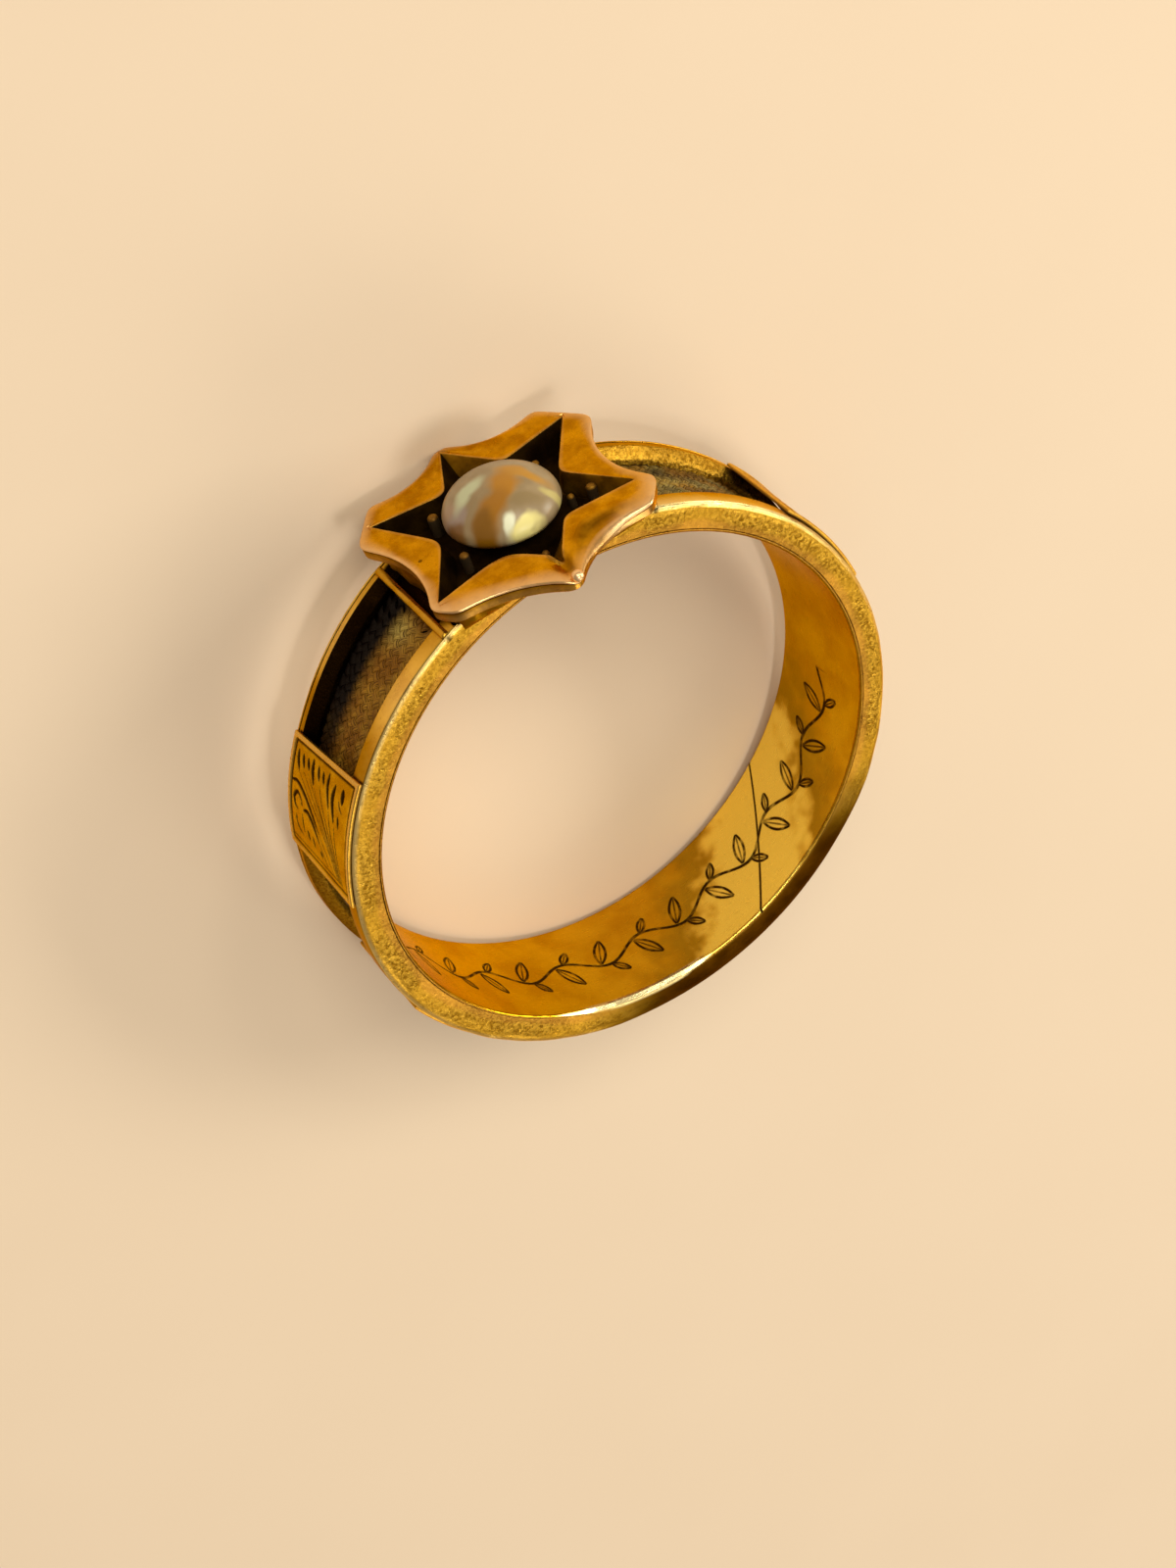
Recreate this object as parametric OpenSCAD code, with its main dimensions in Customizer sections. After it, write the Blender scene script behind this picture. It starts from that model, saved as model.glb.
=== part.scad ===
// Mourning ring: a gold channel band with woven hair in it, five engraved plaques
// over the hair, and a star head with a pearl. The finger bore's centre is the origin.
// The ring lies on its side: +Z is up, the head looks towards -Y and is a little raised.

/* [Finger] */
// Inner diameter of the ring
bore_d = 17; // [15:0.1:21]

/* [Band] */
// Width of the band along the finger
band_w = 4.4; // [3.6:0.1:6]
// Thickness of the smooth inner sleeve
liner_t = 0.25; // [0.2:0.05:0.6]
// Height of the two rails over the sleeve
rail_h = 0.73; // [0.6:0.01:1.2]
// Width of each rail
rail_w = 0.6; // [0.4:0.05:0.8]

/* [Hair] */
// Thickness of the woven hair
hair_t = 0.25; // [0.15:0.05:0.35]

/* [Plaques] */
// Length of one plaque along the hoop
plaque_length = 4.1; // [3:0.1:5]
// Thickness of a plaque
plaque_t = 0.12; // [0.08:0.01:0.3]
// Strip of each rail's top that stays bare beside a plaque
plaque_inset = 0.2; // [0:0.05:0.25]

/* [Cross bars] */
// Thickness of the round bar at each end of the hair
bar_d = 0.34; // [0.25:0.01:0.5]
// How far the bar's middle lies under the rails' tops
bar_sink = 0.06; // [0:0.01:0.12]
// Distance between the two bars, centre to centre
bar_span = 7.25; // [6.6:0.05:8.5]

/* [Star head] */
// Height of the star's face over the rails
face_lift = 0.5; // [0.4:0.05:0.9]
// Thickness of the star plate at its overhanging tips
plate_t = 0.5; // [0.35:0.05:0.7]
// Reach of the plate's tips from its centre
star_r = 4.4; // [4.2:0.05:5]
// Reach of the hollow sides between the tips
side_r = 3.5; // [3.3:0.05:3.7]
// Width of a blunt tip
tip_w = 1.8; // [1:0.1:2]
// Reach of the gallery under the plate, across the band
gallery_reach = 3.5; // [3.2:0.05:3.8]
// Height of the gallery beside the band, under the plate
gallery_h = 0.85; // [0.6:0.05:0.95]
// Depth of the hollow in the gallery's underside
cove_sag = 0.15; // [0.05:0.01:0.25]
// Step from the plate's sides back to the gallery
gallery_step = 0.15; // [0.05:0.05:0.3]
// Step from the plate's tips back to the gallery
tip_step = 0.6; // [0.4:0.05:0.9]

/* [Star pocket] */
// Thickness of the floor under the pearl
floor_t = 0.2; // [0.15:0.01:0.3]
// Reach of the pocket's arms
arm_r = 4; // [3.6:0.05:4.1]
// Reach of the corners between the arms
corner_r = 2.06; // [1.95:0.01:2.3]

/* [Pearl] */
// Diameter of the pearl
pearl_d = 3.54; // [3:0.02:3.7]
// Height of the pearl over its widest line
pearl_dome = 1.08; // [0.8:0.02:1.6]
// Depth of the pearl under its widest line
pearl_back = 0.6; // [0.4:0.02:0.66]
// How far the widest line lies under the star's face
pearl_drop = 0.15; // [0.05:0.01:0.2]
// Thickness of the claws round the pearl
claw_d = 0.26; // [0.2:0.02:0.34]
// How far the claws stop under the star's face
claw_drop = 0.08; // [0.02:0.01:0.2]

/* [Fits] */
// Gap between pieces that are soldered or laid together
seat_gap = 0.02; // [0.01:0.01:0.04]
// Gap round the pearl
pearl_gap = 0.04; // [0.02:0.01:0.06]

/* [Hidden] */
$fn = 96;

bore_r = bore_d / 2;
half_w = band_w / 2;
liner_r = bore_r + liner_t;
channel_r = liner_r + seat_gap;
rail_r = channel_r + rail_h;

// The star's face, its plate's back and the pearl's widest line, from the bore's axis
face_y = rail_r + face_lift;
back_y = face_y - plate_t;
pocket_depth = pearl_drop + pearl_back + pearl_gap;
floor_corner_r = pearl_d / 2 + pearl_gap;

// The band has a flat under the head, which the floor under the pearl sits on
seat_y = face_y - pocket_depth - floor_t;

// The bars' place, and the angle from the head's middle to each
bar_r = rail_r - bar_sink;
bar_angle = asin(bar_span / 2 / bar_r);

// Plaques and the windows between them share the hoop behind the bars
plaque_count = 5;
plaque_in_r = rail_r + seat_gap;
plaque_out_r = plaque_in_r + plaque_t;
plaque_half_w = half_w - plaque_inset;
plaque_angle = plaque_length / plaque_out_r * 180 / PI;
window_angle = (360 - 2 * bar_angle - plaque_count * plaque_angle) / (plaque_count + 1);
gap_angle = seat_gap / rail_r * 180 / PI;

// How far a cutting solid runs past the face that it cuts
past = 1;

// The star is hand cut, so each of its six arms has a row of its own. Directions are
// degrees round the head, and reaches are shares of the named sizes.
ARM_AT = 0;       // direction of the pocket's arm
ARM_REACH = 1;    // share of arm_r
FLOOR_REACH = 2;  // share of arm_r, at the pocket's floor
CORNER_AT = 3;    // direction of the corner after this arm
CORNER_REACH = 4; // share of corner_r
TIP_AT = 5;       // direction of the plate's tip
TIP_REACH = 6;    // share of star_r
TIP_WIDTH = 7;    // share of tip_w
SIDE_AT = 8;      // direction of the hollow side after this tip
SIDE_REACH = 9;   // share of side_r
STAR = [
    [ 32, 1.03, 0.84,  60, 1.00,  36, 1.00, 0.50,  67, 1.07],
    [ 91, 1.03, 0.60, 120, 1.00,  88, 1.00, 0.20, 113, 1.05],
    [148, 0.98, 0.80, 182, 0.95, 141, 1.03, 0.70, 178, 0.95],
    [213, 1.02, 0.84, 240, 1.05, 215, 0.98, 1.15, 252, 1.00],
    [271, 0.95, 0.60, 295, 1.05, 270, 0.91, 0.25, 288, 1.02],
    [323, 1.02, 0.84, 356, 1.00, 322, 0.99, 1.05, 359, 0.95],
];
LOWEST_TIP = 4;
last_arm = len(STAR) - 1;

// The laid ring touches the floor with its lowest tip and at the back of the hoop, with
// the rail's edge or the plaque's, whichever comes down first
tip_z = star_r * STAR[LOWEST_TIP][TIP_REACH];
function tilt_on(reach, half) = atan((tip_z - half) / (reach + back_y));
rest_tilt = min(tilt_on(rail_r, half_w), tilt_on(plaque_out_r, plaque_half_w));

function polar(reach, angle) = [reach * cos(angle), reach * sin(angle)];
function next(i) = (i + 1) % len(STAR);
function tip_reach(i, step = 0) = star_r * STAR[i][TIP_REACH] - step;

// End of a blunt tip: side -1 is the end before the tip's middle, 1 the end after it
function tip_end(i, side) =
    polar(tip_reach(i), STAR[i][TIP_AT])
    + side * tip_w / 2 * STAR[i][TIP_WIDTH] * [-sin(STAR[i][TIP_AT]), cos(STAR[i][TIP_AT])];

// Where the straight lines of two neighbouring blunt tips would cross
function line_cross(i, step) =
    let (
        a = STAR[i][TIP_AT],
        b = STAR[next(i)][TIP_AT],
        p = tip_reach(i, step),
        q = tip_reach(next(i), step),
        d = sin(b - a)
    )
    [(p * sin(b) - q * sin(a)) / d, (q * cos(a) - p * cos(b)) / d];

// Centre of the circle through three points
function circle_centre(p, q, r) =
    let (d = 2 * (p.x * (q.y - r.y) + q.x * (r.y - p.y) + r.x * (p.y - q.y)))
    [
        ((p * p) * (q.y - r.y) + (q * q) * (r.y - p.y) + (r * r) * (p.y - q.y)) / d,
        ((p * p) * (r.x - q.x) + (q * q) * (p.x - r.x) + (r * r) * (q.x - p.x)) / d,
    ];
function side_middle(i) = polar(side_r * STAR[i][SIDE_REACH], STAR[i][SIDE_AT]);
function side_centre(i) = circle_centre(tip_end(i, 1), side_middle(i), tip_end(next(i), -1));

// Star ring of the pocket at one depth: share 0 is the face and 1 the floor
function pocket_ring(share) = [
    for (i = [0:last_arm])
    for (corner = [false, true])
        corner
        ? concat(
            polar(
                corner_r * STAR[i][CORNER_REACH] * (1 - share) + floor_corner_r * share,
                STAR[i][CORNER_AT]
            ),
            -pocket_depth * share
        )
        : concat(
            polar(arm_r * (STAR[i][ARM_REACH] * (1 - share) + STAR[i][FLOOR_REACH] * share), STAR[i][ARM_AT]),
            -pocket_depth * share
        )
];

// The whole ring as it lies on its side
module laid() {
    rotate([-rest_tilt, 0, 0]) children();
}

// The head's own frame: x along the hoop, y along the finger, z out of the star's face
module at_head() {
    translate([0, -face_y, 0]) rotate([90, 0, 0]) children();
}

// Part of the hoop from one angle to the next, both counted from the head's middle.
// The child is its section, with x from the bore's axis.
module hoop(from, to) {
    rotate([0, 0, from - 90]) rotate_extrude(angle = to - from) children();
}

// Rectangle of a hoop's section between two radii and two widths
module section(r1, r2, w1, w2) {
    translate([r1, w1]) square([r2 - r1, w2 - w1]);
}

// Star with hollow sides and blunt tips, set in from the plate's outline
module star_outline(side_step = 0, tip_step = 0) {
    difference() {
        polygon([for (i = [0:last_arm]) line_cross(i, tip_step)]);
        for (i = [0:last_arm])
            translate(side_centre(i))
                circle(norm(side_centre(i) - side_middle(i)) + side_step);
    }
}

// The pocket's drafted star, from a share of its depth over the face down to the floor
module star_pocket() {
    over_face = -0.1;
    n = 2 * len(STAR);
    sides = [
        for (i = [0:n - 1])
            let (j = (i + 1) % n)
            each [[i, j, n + i], [j, n + j, n + i]]
    ];
    polyhedron(
        concat(pocket_ring(over_face), pocket_ring(1)),
        concat([[for (i = [n - 1:-1:0]) i]], sides, [[for (i = [0:n - 1]) n + i]])
    );
}

// Everything of the band that the head sits over, grown by a gap
module band_seat(gap = 0) {
    reach = rail_r + gap;
    intersection() {
        cylinder(r = reach, h = band_w + 2 * gap, center = true);
        translate([-reach, -seat_y - gap + seat_gap, -reach]) cube(2 * reach);
    }
}

// Block under the plate: trimmed between the bars, and hollowed at both sides of the band
module gallery() {
    depth = plate_t + gallery_h;
    length = bar_span - bar_d - 4 * seat_gap;
    foot = [half_w, -depth];
    lip = [gallery_reach, -plate_t];
    sag_dir = [foot.y - lip.y, lip.x - foot.x] / norm(lip - foot);
    crown = (foot + lip) / 2 + cove_sag * sag_dir;
    cove = circle_centre(foot, crown, lip);
    intersection() {
        translate([0, 0, -depth]) linear_extrude(depth - plate_t) star_outline(gallery_step, tip_step);
        rotate([90, 0, 90]) linear_extrude(length, center = true)
            for (side = [0, 1])
                mirror([side, 0]) difference() {
                    polygon([[0, foot.y], foot, lip, [lip.x, 0], [0, 0]]);
                    translate(cove) circle(norm(cove - crown));
                }
    }
}

// Round-topped pins in the pocket's arms, just clear of the pearl
module claws() {
    r = claw_d / 2;
    top = -claw_drop;
    root = -pocket_depth - floor_t / 2;
    dome = [for (a = [0:30:90]) [r * cos(a), top - r + r * sin(a)]];
    for (i = [0:last_arm])
        translate(polar(floor_corner_r + r, STAR[i][ARM_AT]))
            rotate_extrude($fn = 24) polygon(concat([[0, root], [r, root]], dome));
}

// Smooth inner sleeve, open from end to end for the finger
module liner() {
    color("goldenrod") laid() difference() {
        cylinder(r = liner_r, h = band_w, center = true);
        cylinder(r = bore_r, h = band_w + past, center = true);
    }
}

// Two rails joined by a solid seat under the head, and at the hair's ends by round bars
module channel_band() {
    channel_w = half_w - rail_w;
    color("gold") laid() {
        difference() {
            band_seat();
            cylinder(r = channel_r, h = band_w + past, center = true);
            hoop(bar_angle, 360 - bar_angle) section(bore_r, rail_r + past, -channel_w, channel_w);
        }
        for (side = [-1, 1])
            rotate([0, 0, side * bar_angle - 90]) translate([bar_r, 0, 0])
                cylinder(d = bar_d, h = band_w - bar_d, center = true, $fn = 48);
    }
}

// Flat woven strand that lies in the channel from one bar round the back to the other
module hair_plait() {
    start = bar_angle + gap_angle;
    inner_r = channel_r;
    hair_w = half_w - rail_w - seat_gap;
    color("saddlebrown") laid() hoop(start, 360 - start) section(inner_r, inner_r + hair_t, -hair_w, hair_w);
}

// Star plate and gallery in one piece, with the pearl's pocket and claws
module star_head() {
    color("darkgoldenrod") laid() {
        at_head() claws();
        difference() {
            at_head() {
                translate([0, 0, -plate_t]) linear_extrude(plate_t) star_outline();
                gallery();
            }
            band_seat(seat_gap);
            at_head() star_pocket();
        }
    }
}

// Button pearl: a round dome over a flatter back
module pearl() {
    steps = 7;
    roundness = 0.86;
    profile = [
        for (i = [-steps:steps])
            let (a = 90 * i / steps, h = i < 0 ? pearl_back : pearl_dome)
            [pearl_d / 2 * pow(abs(cos(a)), roundness), h * sin(a) - pearl_drop]
    ];
    color("lavenderblush") laid() at_head() rotate_extrude() polygon(profile);
}

// Thin curved plate over both rails
module plaque(i) {
    start = bar_angle + window_angle + i * (plaque_angle + window_angle);
    color("gold") laid()
        hoop(start, start + plaque_angle)
            section(plaque_in_r, plaque_out_r, -plaque_half_w, plaque_half_w);
}

liner();
channel_band();
hair_plait();
star_head();
pearl();
for (i = [0:plaque_count - 1])
    plaque(i);
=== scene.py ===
# %% [markdown]
# # A mourning ring with woven hair and a star head
# The ring comes from the CAD model as a fixed frame: a smooth liner, a channel band with two
# rails, a flat strand of hair, a star head, a pearl and five plaques. The solids carry the real
# sizes, and Blender adds what a goldsmith's hand and many years of wear leave on them: soft
# edges, graver cuts, file marks, the weave of the hair and the lustre of the pearl.

import math
from contextlib import contextmanager

import bpy
import numpy as np
from mathutils import Matrix, Vector, noise


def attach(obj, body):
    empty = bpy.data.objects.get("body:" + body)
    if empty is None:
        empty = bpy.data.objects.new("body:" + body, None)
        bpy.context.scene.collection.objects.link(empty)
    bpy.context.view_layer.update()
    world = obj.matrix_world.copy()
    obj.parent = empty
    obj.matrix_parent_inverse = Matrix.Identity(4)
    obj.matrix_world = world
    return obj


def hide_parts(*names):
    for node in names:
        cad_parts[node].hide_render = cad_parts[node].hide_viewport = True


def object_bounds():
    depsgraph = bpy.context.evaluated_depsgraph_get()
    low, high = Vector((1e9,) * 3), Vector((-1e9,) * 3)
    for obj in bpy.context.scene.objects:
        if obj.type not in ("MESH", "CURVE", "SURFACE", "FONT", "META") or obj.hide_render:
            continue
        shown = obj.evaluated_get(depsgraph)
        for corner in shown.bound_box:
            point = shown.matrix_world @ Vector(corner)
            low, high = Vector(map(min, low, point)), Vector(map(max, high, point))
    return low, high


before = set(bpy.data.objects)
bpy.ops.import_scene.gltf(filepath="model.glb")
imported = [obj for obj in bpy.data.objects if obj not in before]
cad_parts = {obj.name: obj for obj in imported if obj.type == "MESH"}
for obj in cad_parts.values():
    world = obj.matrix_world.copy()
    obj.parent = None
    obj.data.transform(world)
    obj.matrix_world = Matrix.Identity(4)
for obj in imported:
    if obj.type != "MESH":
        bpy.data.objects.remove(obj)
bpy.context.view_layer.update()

# %% [markdown]
# ## One frame for every piece
# The ring lies on its side, a little raised by the star's lowest tip. It is easier to model a
# ring whose bore stands straight up, so each piece is built upright round the Z axis with the
# head towards -Y, and is laid down by the rest tilt at the end. Sizes are millimetres times MM.

# %% Sizes shared by the pieces
MM = 0.001
BORE_R = 8.5  # the finger opening
LINER_R = 8.75  # outside of the sleeve
CHANNEL_R = 8.77  # inside of the band, with room for solder
RAIL_R = 9.5  # outside of the hoop
HALF_W = 2.2  # half the band's width
RAIL_W = 0.6  # the far rail's width
NEAR_EDGE = 1.5  # inner edge of the near rail, which is a little wider than the far one
FACE = 10.0  # the star's face, out from the bore's axis
PLATE_BACK = 9.5
SEAT = 8.99  # the flat under the head
BAR_R = 9.44  # the cross bars' middles, out from the axis
BAR_D = 0.34
BAR_SPAN = 7.25  # from bar to bar
BAR_ANGLE = math.asin(BAR_SPAN / 2 / BAR_R)
REST_TILT = math.radians(5.423824)


def start_clean():
    """Object mode with nothing selected, because operators act on all that is selected."""
    if bpy.context.mode != "OBJECT":
        bpy.ops.object.mode_set(mode="OBJECT")
    bpy.ops.object.select_all(action="DESELECT")


def make_active(piece):
    start_clean()
    piece.select_set(True)
    bpy.context.view_layer.objects.active = piece

@contextmanager
def editing(piece, action="SELECT"):
    """Edit mode on one piece, with all of it or none of it selected at first."""
    make_active(piece)
    bpy.ops.object.mode_set(mode="EDIT")
    bpy.ops.mesh.select_all(action=action)
    yield
    bpy.ops.object.mode_set(mode="OBJECT")


def points_of(piece):
    """The mesh points as an array of millimetres."""
    flat = np.empty(3 * len(piece.data.vertices))
    piece.data.vertices.foreach_get("co", flat)
    return flat.reshape(-1, 3) / MM


def place_points(piece, points):
    piece.data.vertices.foreach_set("co", (np.asarray(points) * MM).ravel())
    piece.data.update()


def select_edges(piece, wanted):
    """In edit mode, selects the edges whose middle passes a test in millimetres."""
    bpy.ops.mesh.select_mode(type="EDGE")
    bpy.ops.mesh.select_all(action="DESELECT")
    bpy.ops.object.mode_set(mode="OBJECT")
    points = [v.co / MM for v in piece.data.vertices]
    for edge in piece.data.edges:
        a, b = edge.vertices
        edge.select = bool(wanted((points[a] + points[b]) / 2))
    bpy.ops.object.mode_set(mode="EDIT")


def settled():
    """The primitive that was just added, with its place and turn taken into its mesh."""
    bpy.ops.object.transform_apply(location=True, rotation=True, scale=True)
    return bpy.context.object


def close_openings(piece):
    """Fills each open edge loop with a face and turns all faces outwards."""
    with editing(piece, "DESELECT"):
        bpy.ops.mesh.select_mode(type="EDGE")
        bpy.ops.mesh.select_non_manifold()
        bpy.ops.mesh.edge_face_add()
        bpy.ops.mesh.select_all(action="SELECT")
        bpy.ops.mesh.normals_make_consistent(inside=False)


def join_into(piece, others):
    make_active(piece)
    for other in others:
        other.select_set(True)
    bpy.ops.object.join()
    return piece

def smooth_shade(piece, angle=32):
    make_active(piece)
    bpy.ops.object.shade_smooth_by_angle(angle=math.radians(angle))


def mark(piece, values, name="hollow"):
    """Stores one value from 0 to 1 for each mesh point, for the materials to read."""
    attribute = piece.data.attributes.get(name) or piece.data.attributes.new(name, "FLOAT", "POINT")
    values = np.clip(np.asarray(values, float), 0, 1).astype(np.float32)
    attribute.data.foreach_set("value", np.broadcast_to(values, len(piece.data.vertices)).copy())


def ramp(values, low, high):
    """Nought before low, one past high, and straight between them."""
    return np.clip((values - low) / (high - low), 0, 1)


def hill(values, middle, width):
    """One at the middle, and softly down to nought on both sides of it."""
    return np.exp(-(((values - middle) / width) ** 2))


def swaying(values, row):
    """A slow, uneven swing along a run of values, the same on every run of the script."""
    return np.array([noise.noise(Vector((v, row, 0))) for v in values])


def lay_down(piece, node, material):
    """Tilts a finished piece to its place at rest and lets it stand for its CAD node."""
    make_active(piece)
    piece.rotation_euler = (-REST_TILT, 0, 0)
    bpy.ops.object.transform_apply(location=True, rotation=True, scale=True)
    piece.name = node + "_finished"
    piece.data.name = piece.name
    piece.data.materials.clear()
    piece.data.materials.append(material)
    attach(piece, "root")
    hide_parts(node)
    triangles = sum(len(p.vertices) - 2 for p in piece.data.polygons)
    print(f"{piece.name}: {triangles} triangles")
    return piece


# %% [markdown]
# ## The camera
# The picture's angle was found from the hoop's two ellipses and the star's corners. The lens,
# place and turn below are those of the upright ring and are laid down with it, so every corner
# of the ring is where the picture has it. The camera stands above the floor, 50 degrees up.

# %% Camera
LAY = Matrix.Rotation(-REST_TILT, 3, "X")
CAMERA_AT = LAY @ Vector((20.8296, -61.3825, 65.6825))
PICTURE_RIGHT = LAY @ Vector((-0.821496, 0.264859, 0.504969))
TO_CAMERA = LAY @ Vector((0.21763, -0.672907, 0.706989))
PICTURE_UP = TO_CAMERA.cross(PICTURE_RIGHT).normalized()

start_clean()
bpy.ops.object.camera_add(location=CAMERA_AT * MM)
camera = bpy.context.object
camera.name = "picture_camera"
turn = Matrix((PICTURE_RIGHT, PICTURE_UP, TO_CAMERA)).transposed()
camera.rotation_mode = "QUATERNION"
camera.rotation_quaternion = turn.to_quaternion()
camera.data.lens = 68.04
camera.data.sensor_width = 36
camera.data.clip_start = 0.001
camera.data.clip_end = 10
bpy.context.scene.camera = camera
print("camera stands", round(math.degrees(math.asin(TO_CAMERA.z)), 1), "degrees above the floor")

# %% [markdown]
# ## Where a point lies on the hoop
# Marks on a ring run round it or across it: file marks, polishing lines, the joint of the liner.
# This group turns a point of the laid ring back upright and gives its distance round the hoop,
# across the band and out from the axis, all in millimetres, for the other groups to use.


# %% Node helpers
class Value:
    """One output of a node. A sign such as + or * adds the math node that it stands for."""

    def __init__(self, sheet, socket):
        self.sheet, self.socket = sheet, socket

    def __add__(self, other):
        return self.sheet.math("ADD", self, other)

    def __sub__(self, other):
        return self.sheet.math("SUBTRACT", self, other)

    def __rsub__(self, other):
        return self.sheet.math("SUBTRACT", other, self)

    def __mul__(self, other):
        return self.sheet.math("MULTIPLY", self, other)

    def __truediv__(self, other):
        return self.sheet.math("DIVIDE", self, other)

    def __abs__(self):
        return self.sheet.math("ABSOLUTE", self)


class Outputs:
    """A node's outputs as values, by name or by number."""

    def __init__(self, sheet, node):
        self.sheet, self.node = sheet, node

    def __getitem__(self, key):
        return Value(self.sheet, self.node.outputs[key])


class Sheet:
    """Short words for adding nodes to a tree and linking them."""

    def __init__(self, tree):
        self.tree = tree

    def feed(self, socket, value):
        if isinstance(value, Value):
            self.tree.links.new(value.socket, socket)
        else:
            socket.default_value = value

    def add(self, kind, inputs=None, **settings):
        node = self.tree.nodes.new(kind if kind.startswith("NodeGroup") else "ShaderNode" + kind)
        for key, value in settings.items():
            setattr(node, key, value)
        for key, value in (inputs or {}).items():
            self.feed(node.inputs[key], value)
        return Outputs(self, node)

    def group(self, tree, inputs):
        """A shared group, placed here with its own values."""
        return self.add("Group", inputs, node_tree=tree)

    def put_out(self, **values):
        """Ends a group: each value goes to the output of its name."""
        self.add("NodeGroupOutput", values)

    def math(self, operation, *values, clamp=False):
        return self.add("Math", dict(enumerate(values)), operation=operation, use_clamp=clamp)[0]

    def ramp(self, value, low, high, to_low=0.0, to_high=1.0, smooth=True):
        """A value carried from one span to another, held at both ends."""
        spans = {"Value": value, "From Min": low, "From Max": high, "To Min": to_low, "To Max": to_high}
        return self.add("MapRange", spans, interpolation_type="SMOOTHSTEP" if smooth else "LINEAR")["Result"]

    def between(self, share, a, b):
        """A number that goes from one value to another."""
        return self.add("Mix", {0: share, 2: a, 3: b})[0]

    def mix(self, share, a, b):
        """A colour that goes from one colour to another."""
        return self.add("Mix", {0: share, 6: a, 7: b}, data_type="RGBA")[2]

    def coats(self, colour, *coats):
        """A colour with others laid over it in turn, each as (share, colour)."""
        for share, coat in coats:
            colour = self.mix(share, colour, coat)
        return colour

    def speckle(self, place, scale, detail=2.0, roughness=0.5, distortion=0.0):
        inputs = {"Vector": place, "Scale": scale, "Detail": detail, "Roughness": roughness}
        return self.add("TexNoise", {**inputs, "Distortion": distortion})["Fac"]

    def stretch(self, place, factors):
        """A place pressed or pulled along its axes, for streaked patterns."""
        return self.add("VectorMath", {0: place, 1: factors}, operation="MULTIPLY")[0]

    def stored(self, name):
        """A value that the mesh points carry, such as how dark they are with dirt and painted shade, and how
        pale with wear and painted highlight.
        """
        return self.add("Attribute", attribute_name=name)["Fac"]

    def bump(self, height, distance, strength):
        return self.add("Bump", {"Height": height, "Distance": distance * MM, "Strength": strength})[0]

    def shade(self, sockets):
        """The surface itself. Each socket takes a pattern or keeps a constant of its own."""
        self.add("OutputMaterial", {"Surface": self.add("BsdfPrincipled", sockets)[0]})


def new_group(name, inputs, outputs):
    """An empty group with inputs as (name, type, value or nothing), its sheet and its inputs."""
    tree = bpy.data.node_groups.new(name, "ShaderNodeTree")
    for label, kind, *value in inputs:
        socket = tree.interface.new_socket(label, in_out="INPUT", socket_type="NodeSocket" + kind)
        if value:
            socket.default_value = value[0]
    for label, kind in outputs.items():
        tree.interface.new_socket(label, in_out="OUTPUT", socket_type="NodeSocket" + kind)
    sheet = Sheet(tree)
    return tree, sheet, sheet.add("NodeGroupInput")


def turned(x, y, lean):
    """A flat place seen along a line that leans by some degrees: how far along it and off it."""
    c, d = math.cos(math.radians(lean)), math.sin(math.radians(lean))
    return x * c + y * d, y * c - x * d


# %% Group: place on the hoop
hoop_place, s, given = new_group(
    "hoop_place",
    [("Object", "Vector")],
    {"Around": "Float", "Across": "Float", "Out": "Float", "Wrapped": "Vector", "Upright": "Vector"},
)
# the Mapping node turns the laid ring upright again and counts in millimetres
upright = s.add("Mapping", {"Vector": given[0], "Rotation": (REST_TILT, 0, 0), "Scale": (1 / MM,) * 3})[0]
axes = s.add("SeparateXYZ", {0: upright})
out_from_axis = s.math("SQRT", s.math("POWER", axes[0], 2) + s.math("POWER", axes[1], 2))
around = s.math("ARCTAN2", axes[0], axes[1] * -1) * RAIL_R
wrapped = s.add("CombineXYZ", {0: around, 1: axes[2], 2: out_from_axis})[0]
s.put_out(Around=around, Across=axes[2], Out=out_from_axis, Wrapped=wrapped, Upright=upright)
print("hoop_place group:", len(hoop_place.nodes), "nodes")

# %% [markdown]
# ## Wear that all the gold shares
# Old gold is never one colour. It has broad, soft patches of redder and paler metal, tiny pits,
# dull grime in its low places, and fine lines from a hundred years of handling. One group gives
# those as masks, and each gold surface uses them with its own strength. The grime's amount comes
# from each piece, and on the band and the star it carries painted shade as well.

# %% Group: worn gold
worn_gold, s, given = new_group(
    "worn_gold",
    [
        ("Place", "Vector"),
        ("Warm", "Color"),
        ("Bright", "Color"),
        ("Grime", "Color", (0.08, 0.045, 0.012, 1)),
        ("Grime Amount", "Float", 0.0),
        ("Patch Size", "Float", 1.0),
    ],
    {"Color": "Color", "Patches": "Float"},
)
broad = s.speckle(given["Place"], given["Patch Size"], 3, 0.6)
patches = s.ramp(broad, 0.35, 0.65)
fine = s.speckle(given["Place"], 11, 2, 0.6)
pits = s.ramp(fine, 0.68, 0.76)
dusty_and_shaded = s.math("MULTIPLY", given["Grime Amount"], s.ramp(broad, 0.2, 0.75, 1.0, 0.72), clamp=True)
stained = s.coats(
    given["Warm"],
    (patches, given["Bright"]),
    (s.ramp(fine, 0.3, 0.7, 0.0, 0.22), given["Warm"]),
    (s.math("MAXIMUM", dusty_and_shaded, pits * 0.35), given["Grime"]),
)
s.put_out(Color=stained, Patches=patches)

# %% Group: fine scratches
SCRATCH_SCALE = 6.0
scratches, s, given = new_group("scratches", [("Place", "Vector"), ("Stretch", "Vector")], {"Lines": "Float"})
s.put_out(Lines=s.speckle(s.stretch(given["Place"], given["Stretch"]), SCRATCH_SCALE, 4, 0.65, 0.15))

# %% [markdown]
# The side faces were drawn flat on a file and left so. The teeth leave short ridges that run out
# from the bore, and they throw the light about as small sparks. Fingers and neighbouring rings
# have calmed them by the outer rim and browned them by the bore. One group gives the ridges, the
# spread of shine and the olive tint of the metal in their hollows.

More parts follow.
